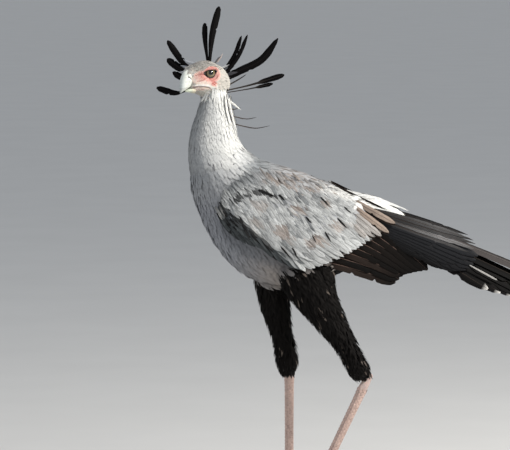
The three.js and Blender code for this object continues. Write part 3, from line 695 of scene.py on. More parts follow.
def spread(values, pairs, share, times):
    """Moves values towards the mean of their neighbours; a negative share moves them away."""
    count = np.zeros(len(values))
    np.add.at(count, pairs.ravel(), 1)
    for _ in range(times):
        total = np.zeros_like(values)
        np.add.at(total, pairs[:, 0], values[pairs[:, 1]])
        np.add.at(total, pairs[:, 1], values[pairs[:, 0]])
        mean = total / (count[:, None] if values.ndim == 2 else count)
        values = values + share * (mean - values)
    return values


def vertex_normals(points, corners):
    a, b, c = (points[corners[:, k]] for k in range(3))
    flat = np.cross(b - a, c - a)
    normals = np.zeros_like(points)
    for k in range(3):
        np.add.at(normals, corners[:, k], flat)
    return unit(normals)


# The eye's opening: its corners and the height of its lids, along the head's axes.
EYE_REAR = np.array([-13.5, 3.8])
EYE_FRONT = np.array([24.0, 5.2])
LID_RISE = 6.0
LID_FALL = 12.6


def lid_heights(forward):
    """Heights of the upper and the lower lid's edge."""
    t = (forward - EYE_REAR[0]) / (EYE_FRONT[0] - EYE_REAR[0])
    level = EYE_REAR[1] + (EYE_FRONT[1] - EYE_REAR[1]) * t
    arch = np.maximum(4 * t * (1 - t), 0)
    return level + LID_RISE * arch**0.6, level - LID_FALL * arch**0.85


def eyeball_reach(forward, up):
    """How far out the eyeball's surface is, at a place on the side of the head."""
    flat = (forward - EYE_SEAT[0]) ** 2 + (up - EYE_SEAT[2]) ** 2
    return EYE_SEAT[1] + np.sqrt(np.maximum(EYE_RADIUS**2 - flat, 30.0))


def outside_opening(forward, up):
    """Distance outside the eye's opening, less than zero inside it."""
    inside = np.clip(forward, EYE_REAR[0], EYE_FRONT[0])
    top, bottom = lid_heights(inside)
    over = np.maximum(up - top, bottom - up)
    return np.hypot(np.maximum(over, 0), np.abs(forward - inside)) + np.minimum(over, 0)


GAPE = np.array([[56, -25.8], [47, -24.6], [38, -25.0], [26, -27.0], [14, -30.5], [2, -37.5]], float)
JOWL_FOLDS = [
    np.array([[6, -22], [-2, -28], [-7, -36]], float),
    np.array([[1, -19], [-8, -26], [-13, -36]], float),
    np.array([[16, -36], [8, -41], [-2, -44]], float),
    np.array([[30, -33], [20, -37], [12, -42]], float),
]
EYE_FOLDS = [
    np.array([[-16, -4], [-8, -12], [4, -14.5], [17, -11.5]], float),
    np.array([[-18, 6], [-8, 14.5], [4, 16.5], [18, 11]], float),
    np.array([[20, -8], [30, -12], [40, -12]], float),
    np.array([[22, 3], [32, 4], [42, 3]], float),
]


def groove(places, line, depth, width):
    return depth * np.exp(-((line_distance(places, line) / width) ** 2))


def sculpt_face(points):
    """Presses the eye sockets, lids, mouth line and folds into the head's sides."""
    place = to_head(points)
    forward, left, up = place.T
    side = np.sign(left)
    reach = np.abs(left)
    near = smooth(12, 18, reach) * (np.abs(up) < 50) * (forward > -45)
    gap = outside_opening(forward, up)
    lid = eyeball_reach(forward, up) + 1.0 + 1.4 * np.exp(-((gap - 4) / 3) ** 2) * (up > 3)
    socket = eyeball_reach(forward, up) - 2.2
    away = smooth(2, 13, gap)
    shaped = np.where(gap < 0, socket, lid * (1 - away) + reach * away)
    flat = np.stack([forward, up], 1)
    grooves = groove(flat, GAPE, 1.5, 1.1) * (forward < 58)
    grooves = grooves + sum(groove(flat, fold, 1.1, 1.3) for fold in JOWL_FOLDS)
    grooves = grooves + sum(groove(flat, fold, 0.8, 1.1) for fold in EYE_FOLDS)
    jowl = 3.0 * np.exp(-((forward + 3) / 9) ** 2 - ((up + 33) / 8) ** 2)
    rumple = 0.5 * (mottle(points, 9, 8) - 0.5) * bare_face(place)
    shaped = shaped - grooves * (gap > 1.5) + jowl + rumple
    place[:, 1] = side * (reach + (shaped - reach) * near)
    return in_head(place)


def make_skin():
    """One skin over all the flesh: its mesh, points, corners and the region of each vertex."""
    sources = flesh_sources()
    offsets = np.cumsum([0] + [len(points) for _, points, _ in sources])
    points = np.vstack([points for _, points, _ in sources])
    corners = np.vstack([faces + start for (_, _, faces), start in zip(sources, offsets)])
    owner = np.concatenate([np.full(len(faces), region) for region, _, faces in sources])
    tree = tree_of(points, corners)

    def nearest_regions(places):
        return np.array([owner[tree.find_nearest(Vector(place))[2]] for place in places])

    rough = bpy.data.objects.new("rough", mesh_from("rough", points, corners))
    bpy.context.scene.collection.objects.link(rough)
    remesh = rough.modifiers.new("remesh", "REMESH")
    remesh.mode = "VOXEL"
    remesh.voxel_size = SKIN_GRAIN
    mesh = bpy.data.meshes.new_from_object(rough.evaluated_get(bpy.context.evaluated_depsgraph_get()))
    bpy.data.objects.remove(rough)

    # The voxels' steps are smoothed away. Then the skin is drawn in by the depth of the coat.
    pairs = neighbours(mesh)
    body, body_corners = mesh_arrays(mesh)
    for _ in range(6):
        body = spread(body, pairs, 0.5, 1)
        body = spread(body, pairs, -0.51, 1)
    region = nearest_regions(body)
    depth = np.array([COAT_DEPTH[name] for name in REGIONS])[region]
    on_thigh = region == REGIONS.index("thigh")
    depth = np.where(on_thigh, depth * smooth(318, 400, body[:, 2]), depth)
    depth = depth * (1 - bare_face(to_head(body)))
    depth = spread(depth, pairs, 0.5, 30)
    body = body - vertex_normals(body, body_corners) * depth[:, None]
    body = spread(body, pairs, 0.4, 2)
    mesh.vertices.foreach_set("co", body.astype(np.float32).ravel())

    # The bare face gets a finer mesh before it is sculpted.
    made = bmesh.new()
    made.from_mesh(mesh)
    bare = bare_face(to_head(body)) > 0.02
    finer = [edge for edge in made.edges if bare[edge.verts[0].index] and bare[edge.verts[1].index]]
    bmesh.ops.subdivide_edges(made, edges=finer, cuts=3, use_grid_fill=True)
    bmesh.ops.triangulate(made, faces=[face for face in made.faces if len(face.verts) > 4])
    made.to_mesh(mesh)
    made.free()
    mesh.update()

    body, body_corners = mesh_arrays(mesh)
    body = sculpt_face(body)
    return mesh, body, body_corners, nearest_regions(body)


skin_mesh, skin_points, skin_corners, skin_region = make_skin()
skin_normals = vertex_normals(skin_points, skin_corners)
skin_tree = tree_of(skin_points, skin_corners)


def region_colours(points, regions):
    """Colours of points that each have a region."""
    colours = np.zeros((len(points), 3))
    for number, name in enumerate(REGIONS):
        inside = regions == number
        if inside.any():
            colours[inside] = coat_colour(points[inside], name)
    return colours


EYE_RIM_DARK = srgb(40, 34, 34)
GAPE_PALE = srgb(250, 246, 240)
GAPE_DARK = srgb(84, 56, 54)
FOLD_RED = srgb(176, 84, 74)


def dress_skin():
    """Paints the skin, softens its colours across the regions' edges and makes it a piece."""
    skin_mesh.vertices.foreach_set("co", placed(skin_points).astype(np.float32).ravel())
    colours = spread(region_colours(skin_points, skin_region), neighbours(skin_mesh), 0.5, 2)
    place = to_head(skin_points)
    flat = place[:, [0, 2]]
    bare = bare_face(place)
    corner = np.exp(-oval(place[:, 0], place[:, 2], (22, 4.4), (5, 2.4)))
    rim = smooth(1.6, 0.2, outside_opening(place[:, 0], place[:, 2]))
    dark = np.clip(np.maximum(rim, corner) * (np.abs(place[:, 1]) > 12) * bare, 0, 1)
    colours = blend(colours, EYE_RIM_DARK, dark)
    colours = blend(colours, GAPE_PALE, 0.85 * smooth(4.5, 1.5, line_distance(flat, GAPE + [0, 4.2])) * bare)
    colours = blend(colours, GAPE_DARK, 0.85 * smooth(2.0, 0.6, line_distance(flat, GAPE)) * bare)
    for fold in [*JOWL_FOLDS, *EYE_FOLDS]:
        colours = blend(colours, FOLD_RED, 0.5 * smooth(1.8, 0.4, line_distance(flat, fold)) * bare)
    set_colours(skin_mesh, colours)
    skin_mesh.polygons.foreach_set("use_smooth", np.ones(len(skin_mesh.polygons), bool))
    nodes = ["head"] + [node for group in FLESH.values() for node in group]
    finished(bpy.data.objects.new("skin", skin_mesh), SKIN, nodes)


# The lie of the coat.

FLOW_LINE = np.array([
    (-208, 1016), (-209, 960), (-208, 905), (-190, 850), (-145, 797),
    (-91, 740), (-14, 680), (80, 640), (163, 640), (235, 662),
], float)


def body_flow(points):
    """The way feathers point on neck and trunk, following the line of the body."""
    flat = points[:, [0, 2]]
    middles = (FLOW_LINE[:-1] + FLOW_LINE[1:]) / 2
    steps = unit(FLOW_LINE[1:] - FLOW_LINE[:-1])
    apart = np.linalg.norm(flat[:, None] - middles[None], axis=2)
    weight = 1 / (apart / 40 + 0.3) ** 4
    flow = (weight[..., None] * steps[None]).sum(1)
    drop = -0.25 * smooth(900, 700, flat[:, 1]) * smooth(80, -80, flat[:, 0])
    return unit(np.stack([flow[:, 0], np.zeros(len(flat)), flow[:, 1] + drop * np.abs(flow[:, 0])], 1))


def head_flow(points):
    """Backwards over the crown, backwards and down over the cheeks."""
    place = to_head(points)
    aside = 0.25 * np.sign(place[:, 1])
    fall = -0.25 - 0.4 * smooth(0, -30, place[:, 2])
    return unit(np.stack([-np.ones(len(place)), aside, fall], 1) @ HEAD_AXES)


THIGH_AXES = {
    -1: (np.array([7.0, -50, 592]), np.array([145.0, -50, 316])),
    1: (np.array([-60.0, 50, 581]), np.array([-29.0, 50, 312])),
}


def thigh_flow(points):
    near = points[:, 1] < 0
    left = unit(THIGH_AXES[-1][1] - THIGH_AXES[-1][0])
    right = unit(THIGH_AXES[1][1] - THIGH_AXES[1][0])
    return np.where(near[:, None], left, right)


def sample_skin(region, spacing, rng):
    """Scattered points on one region of the skin, no closer than spacing, and their normals."""
    inside = (skin_region[skin_corners] == REGIONS.index(region)).all(1)
    corners = skin_corners[inside]
    a, b, c = (skin_points[corners[:, k]] for k in range(3))
    area = np.linalg.norm(np.cross(b - a, c - a), axis=1) / 2
    pick = np.repeat(np.arange(len(corners)), rng.poisson(3.5 * area / spacing**2))
    weights = rng.dirichlet((1, 1, 1), len(pick))
    points = sum(weights[:, k, None] * skin_points[corners[pick, k]] for k in range(3))
    normals = unit(sum(weights[:, k, None] * skin_normals[corners[pick, k]] for k in range(3)))
    order = rng.permutation(len(points))
    points, normals = points[order], normals[order]
    tree = kdtree.KDTree(len(points))
    for i, point in enumerate(points):
        tree.insert(point, i)
    tree.balance()
    alive = np.ones(len(points), bool)
    for i in range(len(points)):
        if alive[i]:
            for _, j, _ in tree.find_range(points[i], spacing):
                if j > i:
                    alive[j] = False
    return points[alive], normals[alive]


def on_skin(points):
    """The nearest places on the skin and the skin's direction there."""
    found = [skin_tree.find_nearest(Vector(point)) for point in points]
    return np.array([hit[0] for hit in found]), np.array([hit[1] for hit in found])


def lay_feathers(
    points, normals, flow, length, half, lift, colours, places, rng,
    profile=SOFT, rows=5, columns=3, swing=0.14, curl=0.0, roll=0.12, cup=0.25,
):
    """Feathers rooted at points, lying along the flow and rising from the skin towards their tips."""
    count = len(points)
    along = unit(flow - normals * (flow * normals).sum(1, keepdims=True))
    aside = np.cross(normals, along)
    along = unit(along + aside * rng.normal(0, swing, (count, 1)))
    length = length * rng.uniform(0.82, 1.16, count)
    lift = lift * rng.uniform(0.75, 1.25, count)
    middle, middle_normal = on_skin(points + along * (length * 0.5)[:, None])
    tip, tip_normal = on_skin(points + along * length[:, None])
    middle = middle + middle_normal * (0.75 * lift)[:, None]
    tip = tip + tip_normal * (lift * (1 + curl))[:, None]
    root = points - normals * 0.8
    bend = 2 * middle - (root + tip) / 2
    facing = unit(middle_normal + aside * rng.normal(0, roll, (count, 1)))
    plumes = Plumes()
    shape = vanes(root, bend, tip, facing, half * np.ones(count), profile, rows, columns, cup)
    plumes.add(shape, colours, places)
    return plumes


def tinted(colours, rng, amount):
    """Colours with each feather a little lighter or darker than its neighbours."""
    return colours * (1 + rng.normal(0, amount, (len(colours), 1)))


def on_map(shares):
    """Shares from 0 to 1 as places on a map, a little in from its edges."""
    return 0.03 + 0.94 * shares


def wrap_places(points, low, high, axis_point, axis):
    """Places on an unrolled tube: round the axis, and along it between low and high."""
    axis = unit(np.asarray(axis, float))
    level = np.array([0.0, 1.0, 0.0])
    out = points - np.asarray(axis_point, float)
    turn = np.arctan2(out @ level, out @ unit(np.cross(axis, level)))
    climb = np.clip((out @ axis - low) / (high - low), 0, 1)
    return on_map(np.stack([turn / (2 * math.pi) + 0.5, climb], 1))


def coat_head():
    rng = draws("head")
    points, normals = sample_skin("head", 2.1, rng)
    place = to_head(points)
    keep = (bare_face(place) < 0.3) & (place[:, 0] < 52)
    points, normals, place = points[keep], normals[keep], place[keep]
    back = smooth(20, -50, place[:, 0])
    colours = tinted(coat_colour(points, "head"), rng, 0.04)
    streak = (mottle(points, 6, 4) > 0.7) & (place[:, 2] > 4)
    colours = np.where(streak[:, None], colours * 0.62, colours)
    places = wrap_places(points, -62, 56, HEAD_CENTRE, FORWARD)
    lay_feathers(
        points, normals, head_flow(points), 6 + 14 * back, 1.1 + 1.0 * back, 1.2 + 1.8 * back,
        colours, places, rng, swing=0.16,
    ).piece("coat_head", BODY_PLUME, "plumage_pale")


BRISTLE_TAN = srgb(206, 192, 176)
BRISTLES = 900


def forehead():
    """Short bristling feathers over the root of the bill and before the eye."""
    rng = draws("forehead")
    rings = oval_rings(along_rows(UPPER_BILL, 60), BILL_SQUARENESS, 72).reshape(-1, 3)
    place = to_head(rings)
    reach = 57 + 3 * np.sin(0.9 * place[:, 1]) - 11 * smooth(8, -4, place[:, 2])
    chosen = (place[:, 0] < reach) & (place[:, 2] > -8)
    points = rings[chosen] + rng.normal(0, 0.5, (chosen.sum(), 3))
    points = points[rng.permutation(len(points))[:BRISTLES]]
    count = len(points)
    place = to_head(points)
    out = place - np.array([45.0, 0, -3])
    out[:, 0] = 0.2
    normals = unit(out) @ HEAD_AXES
    flow = np.stack([-np.ones(count), 0.2 * np.sign(place[:, 1]), np.full(count, 0.45)], 1) @ HEAD_AXES
    length = rng.uniform(5, 9, count)
    along = unit(unit(flow) + rng.normal(0, 0.16, (count, 3)))
    tip = points + along * length[:, None] + normals * rng.uniform(0.6, 2.0, count)[:, None]
    bend = (points + tip) / 2 + normals * 0.8
    grey = blend(NECK_WHITE, CROWN_GREY, mottle(points, 7, 9))
    colours = tinted(blend(grey, BRISTLE_TAN, 0.6 * smooth(0.5, 0.8, mottle(points, 9, 12))), rng, 0.06)
    plumes = Plumes()
    shape = vanes(points - normals * 0.5, bend, tip, normals, np.full(count, 0.95), LANCE, 5, 3, cup=0.2)
    plumes.add(shape, colours, wrap_places(points, 40, 62, HEAD_CENTRE, FORWARD))
    plumes.piece("forehead", BODY_PLUME, "plumage_pale")


def front_shade(normals):
    """How much painted shade greys the front of the neck and breast, by where the coat faces."""
    return 0.66 * smooth(-0.35, 0.75, -normals[:, 0])


def coat_neck():
    rng = draws("neck")
    points, normals = sample_skin("neck", 2.6, rng)
    nape = smooth(-0.2, 0.6, normals[:, 0])
    low = smooth(930, 840, points[:, 2])
    colours = tinted(coat_colour(points, "neck"), rng, 0.03)
    # Painted shade on the front of the neck.
    colours = blend(colours, NECK_SHADE, front_shade(normals))
    flecks = (rng.random(len(points)) < 0.035 * low)[:, None]
    colours = np.where(flecks, srgb(132, 132, 134), colours)
    places = wrap_places(points, -110, 110, (-208, 0, 920), (0, 0, 1))
    lay_feathers(
        points, normals, body_flow(points), 26 + 9 * nape + 5 * low, 2.4 + 1.0 * low, 3.2 + 1.5 * nape,
        colours, places, rng, swing=0.06, cup=0.05, roll=0.02,
    ).piece("coat_neck", BODY_PLUME, "plumage_pale")


def coat_trunk():
    """Pale feathers on each side of the trunk, and black ones under the vent and between the thighs."""
    rng = draws("trunk")
    points, normals = sample_skin("trunk", 4.3, rng)
    colours = coat_colour(points, "trunk")
    dark = colours.mean(1) < 0.05
    upper = smooth(-0.1, 0.5, normals[:, 2]) * smooth(-150, -60, points[:, 0])
    # Painted shade on the front of the breast, weaker lower down; the black feathers are left as they are.
    front = front_shade(normals) * (0.35 + 0.65 * smooth(740, 840, points[:, 2]))
    colours = np.where(dark[:, None], colours, blend(colours, NECK_SHADE, front))
    places = wrap_places(points, -270, 270, (0, 0, 680), (1, 0, 0))
    for name, side in ACROSS.items():
        pale = (np.sign(points[:, 1]) == side) & ~dark
        p, high = points[pale], upper[pale]
        shade = tinted(colours[pale], rng, 0.03 + 0.05 * high[:, None])
        lay_feathers(
            p, normals[pale], body_flow(p), 34 + 12 * high, 4.2 + 2.4 * high, 6.5, shade, places[pale], rng,
            swing=0.06, cup=0.05, roll=0.02,
        ).piece(f"coat_trunk_{name}", BODY_PLUME, "plumage_pale")
    down = unit(body_flow(points[dark]) + np.array([0.0, 0, -1.3]))
    shade = tinted(colours[dark], rng, 0.2)
    lay_feathers(
        points[dark], normals[dark], down, 34, 3.8, 8, shade, places[dark], rng, profile=LANCE, swing=0.2,
    ).piece("coat_vent", TROUSER_PLUME, "plumage_black")


def coat_mantle():
    """Long soft feathers lying back over the shoulders and the upper edge of the wings."""
    rng = draws("mantle")
    found = [sample_skin(region, 5.6, rng) for region in ("trunk", "wing")]
    points, normals = (np.concatenate(parts) for parts in zip(*found))
    x = points[:, 0]
    outward = normals[:, 2] + 0.8 * np.abs(normals[:, 1])
    covers_line = (x > 40) & (above_line(points, BACK_LINE) > -7)
    chosen = (above_line(points, MANTLE_LINE) > 2) & (x > -166) & (x < 112) & (outward > 0.35) & ~covers_line
    p, n = points[chosen], normals[chosen]
    front = smooth(-60, -150, p[:, 0])
    slope = np.radians(BACK_SLOPE + 8 * front)
    flow = np.stack([np.cos(slope), np.zeros(len(p)), -np.sin(slope)], 1)
    length = 62 - 26 * front - 26 * smooth(30, 70, p[:, 0])
    colours = tinted(mantle_colour(p), rng, 0.03)
    places = wrap_places(p, -170, 130, (0, 0, 740), (1, 0, 0))
    lay_feathers(
        p, n, flow, length, 5.4 - 2.0 * front, 7 - 2 * front, colours, places, rng,
        rows=9, columns=5, swing=0.06, cup=0.1, roll=0.05,
    ).piece("coat_mantle", BODY_PLUME, "plumage_coverts")


def coat_thighs():
    rng = draws("thigh")
    points, normals = sample_skin("thigh", 3.8, rng)
    for name, side in ACROSS.items():
        chosen = (np.sign(points[:, 1]) == side) & (points[:, 2] > 322)
        p = points[chosen]
        low = smooth(420, 330, p[:, 2])
        shade = tinted(coat_colour(p, "thigh"), rng, 0.25)
        specks = rng.random(len(p)) < 0.02
        shade = np.where(specks[:, None], srgb(92, 84, 78), shade)
        top, foot = THIGH_AXES[side]
        places = wrap_places(p, 0, 310, top, foot - top)
        lay_feathers(
            p, normals[chosen], thigh_flow(p), 34 - 17 * low, 3.2 - 1.2 * low, 9 - 6.5 * low,
            shade, places, rng, profile=LANCE, swing=0.16, curl=0.15, cup=0.12,
        ).piece(f"coat_thigh_{name}", TROUSER_PLUME, "plumage_black")


# Wings.

wing_trees = {side: tree_of(*solid_arrays(f"wing_{name}")) for name, side in ACROSS.items()}


def on_wing(x, z, side, out=0.0):
    """Points on the wing's outer face at these places, moved outwards by out."""
    found = []
    for place_x, place_z in zip(x, z):
        start = Vector((place_x, side * 400, place_z))
        hit = wing_trees[side].ray_cast(start, Vector((0, -side, 0)))[0]
        if hit is None:
            hit = wing_trees[side].find_nearest(Vector((place_x, side * 100, place_z)))[0]
        found.append(hit.y)
    return np.stack([x, np.array(found) + side * out, z], 1)


# The tips of the lowest row of coverts, and the way along the wing's upper edge.
LOW_TIPS = np.array([
    (-178, 690), (-158, 664), (-131, 648), (-84, 633), (-40, 599), (12, 582),
    (60, 598), (106, 617), (150, 643), (176, 660),
], float)
TOP_EDGE = np.array([
    (-178, 762), (-151, 784), (-120, 797), (-77, 805), (-29, 805), (14, 795),
    (60, 782), (101, 768), (142, 748),
], float)
COVERT_ROWS = 20
TERTIAL_NOTCH = 24


def along_line(line, share):
    steps = np.concatenate([[0], np.cumsum(np.linalg.norm(np.diff(line, axis=0), axis=1))])
    place = np.asarray(share) * steps[-1]
    return np.stack([np.interp(place, steps, line[:, k]) for k in range(2)], -1)


def covert_slope(share, height):
    """Degrees below level that a covert points, by its place along and up the wing."""
    return np.interp(share, [0, 0.12, 0.35, 0.6, 1], [64, 56, 54, 43, 33]) - 8 * height


def coat_wing(side, name):
    """Rows of coverts over each other: the lowest row is the longest, the upper rows lie over it."""
    rng = draws("coverts", side)
    plumes = Plumes()
    fade = np.interp(np.linspace(0, 1, 12), [0, 0.5, 0.85, 1], [0.66, 0.86, 1.04, 1.08])
    for row in range(COVERT_ROWS):
        height = row / (COVERT_ROWS - 1)
        size = (1 - height) ** 1.1
        count = int(42 + 26 * height)
        share = (np.arange(count) + 0.5 + rng.uniform(-0.45, 0.45, count)) / count
        low, high = along_line(LOW_TIPS, share), along_line(TOP_EDGE, share)
        lag = 0.96 * height**0.9 + (rng.uniform(-0.035, 0.035, count) if row else np.zeros(count))
        tip = low + (high - low) * lag[:, None]
        tip[:, 0] -= TERTIAL_NOTCH * 4 * lag * (1 - lag) * smooth(0.82, 1, share)
        shrink = 1 - 0.5 * smooth(0.34, 0.02, share)
        angle = np.radians(-covert_slope(share, height) + rng.normal(0, 6, count))
        reach = (32 + 58 * size) * shrink * rng.uniform(0.8, 1.15, count)
        root = tip - np.stack([np.cos(angle), np.sin(angle)], 1) * reach[:, None]
        deep = 1.4 - 1.8 * (1 - height)
        root, middle, tip = (
            on_wing(*place.T, side, deep + out)
            for place, out in ((root, -4.5), ((root + tip) / 2, -0.5), (tip, 0.5))
        )
        bend = 2 * middle - (root + tip) / 2
        facing = unit(np.array([0.0, side, 0.12]) + rng.normal(0, 0.09, (count, 3)))
        colours = tinted(coat_colour((middle + tip) / 2, "wing"), rng, 0.1)
        width = (3.0 + 5.2 * size) * shrink * rng.uniform(0.8, 1.15, count)
        outline = ROUND if row < 3 else SOFT
        shape = vanes(root, bend, tip, facing, width, outline, len(fade), 7, cup=0.12, uneven=0.05, rng=rng)
        places = on_map(np.stack([share, np.full(count, height)], 1))
        plumes.add(shape, colours[:, None, None, :] * fade[None, :, None, None], places, patch=0.006)
    plumes.piece(f"coat_wing_{name}", COVERT_PLUME, "plumage_coverts")


# Dark gaps between coverts where a feather's shadowed edge shows: from, to, half width.
WING_SLITS = [
    ((12, 713), (27, 696), 2.1),
    ((58, 677), (73, 651), 2.3),
    ((88, 708), (112, 682), 2.3),
    ((48, 758), (68, 738), 2.0),
    ((-46, 641), (-24, 615), 2.3),
    ((-100, 776), (-62, 760), 3.4),
    ((-52, 765), (-38, 752), 3.0),
    ((-20, 640), (-6, 614), 2.2),
    ((104, 734), (122, 718), 1.8),
    ((28, 668), (38, 650), 1.6),
]


def wing_slits(side, name):
    rng = draws("slits", side)
    plumes = Plumes(len(WING_SLITS))
    for start, end, half in WING_SLITS:
        x, z = np.linspace(start, end, 5).T
        long_feather(
            plumes, on_wing(x, z, side, 2.9), heading(0.0, side, 0.1), half,
            [WING_BLACK, WING_BLACK * 0.6], rng, profile=LANCE, rows=14, shaft=0, columns=5, notches=1,
        )
    plumes.piece(f"wing_slits_{name}", BLACK_PLUME, "plumage_coverts")


def fill_wing(side, name):
    """Short soft feathers over the wing's skin, seen between the coverts and inside the wing."""
    rng = draws("under_wing", side)
    points, normals = sample_skin("wing", 6.5, rng)
    behind = (points[:, 0] > 128) & (points[:, 2] < 742)
    hanging = (points[:, 0] > -50) & (above_line(points, WING_EDGE) < 16)
    chosen = (np.sign(points[:, 1]) == side) & ~behind & ~hanging
    p, n = points[chosen], normals[chosen]
    flow = np.tile(heading(0.8, 0.0, -0.5), (len(p), 1))
    # Darker towards the wing's lower front edge, as in the wing's band: dark feathers with painted shade.
    dim = 0.8 * smooth(46, 28, above_line(p, WING_EDGE)) * smooth(-60, -20, p[:, 0])
    colours = tinted(blend(coat_colour(p, "wing") * 0.92, WING_DARK, dim), rng, 0.05)
    places = wrap_places(p, -200, 220, (0, side * 75, 690), (1, 0, 0))
    lay_feathers(
        p, n, flow, 20, 5, 4.5, colours, places, rng, profile=ROUND,
    ).piece(f"under_wing_{name}", BODY_PLUME, "plumage_pale")


# Flight feathers and tail, each one modelled by itself.


def long_feather(
    plumes, path, facing, half, tones, rng,
    profile=FLIGHT, rows=44, columns=11, cup=0.14, notches=2, shaft=0.9, shaft_colour=srgb(70, 58, 50),
):
    """One large feather along a path: a vane with splits, in tones from root to tip, and its raised shaft."""
    spine = along_rows(path, rows)
    tangent = unit(np.gradient(spine, axis=0))
    side = unit(np.cross(tangent, facing))
    over = np.cross(side, tangent)
    t = np.linspace(0, 1, rows)
    width = np.interp(t, *profile) * half
    s = np.linspace(-1, 1, columns)
    edge = np.ones((rows, 2)) + rng.uniform(-0.03, 0.02, (rows, 2))
    for _ in range(notches):
        row, which = rng.integers(int(rows * 0.45), rows - 3), rng.integers(0, 2)
        edge[row, which] *= rng.uniform(0.55, 0.8)
        edge[row + 1, which] *= rng.uniform(0.75, 0.95)
    across = width[:, None] * s * np.where(s < 0, edge[:, :1], edge[:, 1:])
    drop = cup * width[:, None] * s**2
    points = spine[:, None] + side[:, None] * across[..., None] - over[:, None] * drop[..., None]
    tones = np.asarray(tones, float)
    steps = np.linspace(0, 1, len(tones))
    painted = np.stack([np.interp(t, steps, tones[:, k]) for k in range(3)], -1)
    plumes.add_large(points, painted[:, None, :])
    if shaft:
        turn = np.linspace(0, 2 * math.pi, 7)
        ring = side[:, None] * np.cos(turn)[:, None] + over[:, None] * (np.sin(turn) + 0.2)[:, None]
        plumes.add_large(spine[:, None] + ring * (shaft * (1 - 0.85 * t))[:, None, None], shaft_colour)


# Flight feathers in the plane of the bird's side, from the wing's root to their tips.
SECONDARY = {
    "roots": np.array([(44, 606), (150, 712)], float),
    "tips": np.array([(228, 550), (250, 571), (280, 577), (305, 580)], float),
    "from_root": 40.0,
    "depth": 72.0,
    "inward": 0.13,
}
PRIMARY = {
    "roots": np.array([(196, 656), (172, 706)], float),
    "tips": np.array([(338, 587), (371, 578), (398, 580), (413, 591), (425, 614)], float),
    "from_root": 196.0,
    "depth": 56.0,
    "inward": 0.06,
}
# Feathers over the primaries, along the upper rear edge of the folded wing; their grey is painted sheen along
# that edge.
LONG_EDGES = {
    **PRIMARY,
    "roots": np.array([(180, 706), (176, 728)], float),
    "tips": np.array([(400, 624), (424, 632), (420, 642), (406, 656)], float),
}
LONG_EDGE_SHEEN_GREY = srgb(128, 127, 128)
REMEX_BLACK = srgb(9, 7, 6)
REMEX_BROWN = srgb(38, 30, 26)
PRIMARY_SHEEN_GREY = srgb(34, 35, 38)
TERTIAL_TAN = srgb(152, 134, 120)
# Tertials, top one first: the root and the tip of each.
TERTIALS = [
    ((118, 752), (226, 694)),
    ((112, 744), (211, 672)),
    ((108, 734), (193, 664)),
    ((106, 722), (178, 662)),
    ((104, 712), (165, 655)),
]


def fan_point(fan, x, z, side, out):
    y = fan["depth"] - fan["inward"] * (x - fan["from_root"])
    return np.array([x, side * (y + out), z])


def fan_feather(plumes, fan, share, side, out, half, tones, rng, bow=4.0, tilt=0.16, **finish):
    """One feather of a fan, between the lines of its roots and its tips. finish goes on to long_feather."""
    root, tip = along_line(fan["roots"], share), along_line(fan["tips"], share)
    middle = (root + tip) / 2 + np.array([0.0, bow])
    path = [
        fan_point(fan, *root, side, out - 1.5),
        fan_point(fan, *middle, side, out + 1.2),
        fan_point(fan, *tip, side, out),
    ]
    long_feather(plumes, path, heading(0.0, side, tilt), half, tones, rng, **finish)


def tertials(plumes, side, rng):
    """Tan feathers from the wing's skin to over the secondaries, each with a black one under it."""
    facing = heading(0.0, side, 0.25)
    for i, (root, tip) in enumerate(reversed(TERTIALS)):
        tan = tinted(TERTIAL_TAN[None], rng, 0.12)[0]
        tan = blend(tan, WING_LIGHT, 0.6 if i < 3 else 0.1)
        x, z = np.linspace(root, tip, 4).T
        skin = side * on_wing(x, z, side)[:, 1]
        for lower, out, half, tones, shaft in (
            (3.5, 0.4, 8.6, [REMEX_BLACK, REMEX_BROWN], 0),
            (0.0, 1.6, 7.4, [tan * 0.5, tan * 0.85, tan, tan * 0.9], 0.6),
        ):
            shown = side * fan_point(SECONDARY, *tip, side, 5.0 + 1.8 * i + out)[1]
            rise = 1.4 + 1.2 * i + out
            y = np.array([skin[0] - 7, skin[1] - 1.5 + 0.5 * rise, *np.maximum(skin[2:] + rise, shown)])
            path = np.stack([x, side * y, z - lower], 1)
            long_feather(
                plumes, path, facing, half, tones, rng, profile=ROUND, rows=30, notches=1, shaft=shaft,
            )


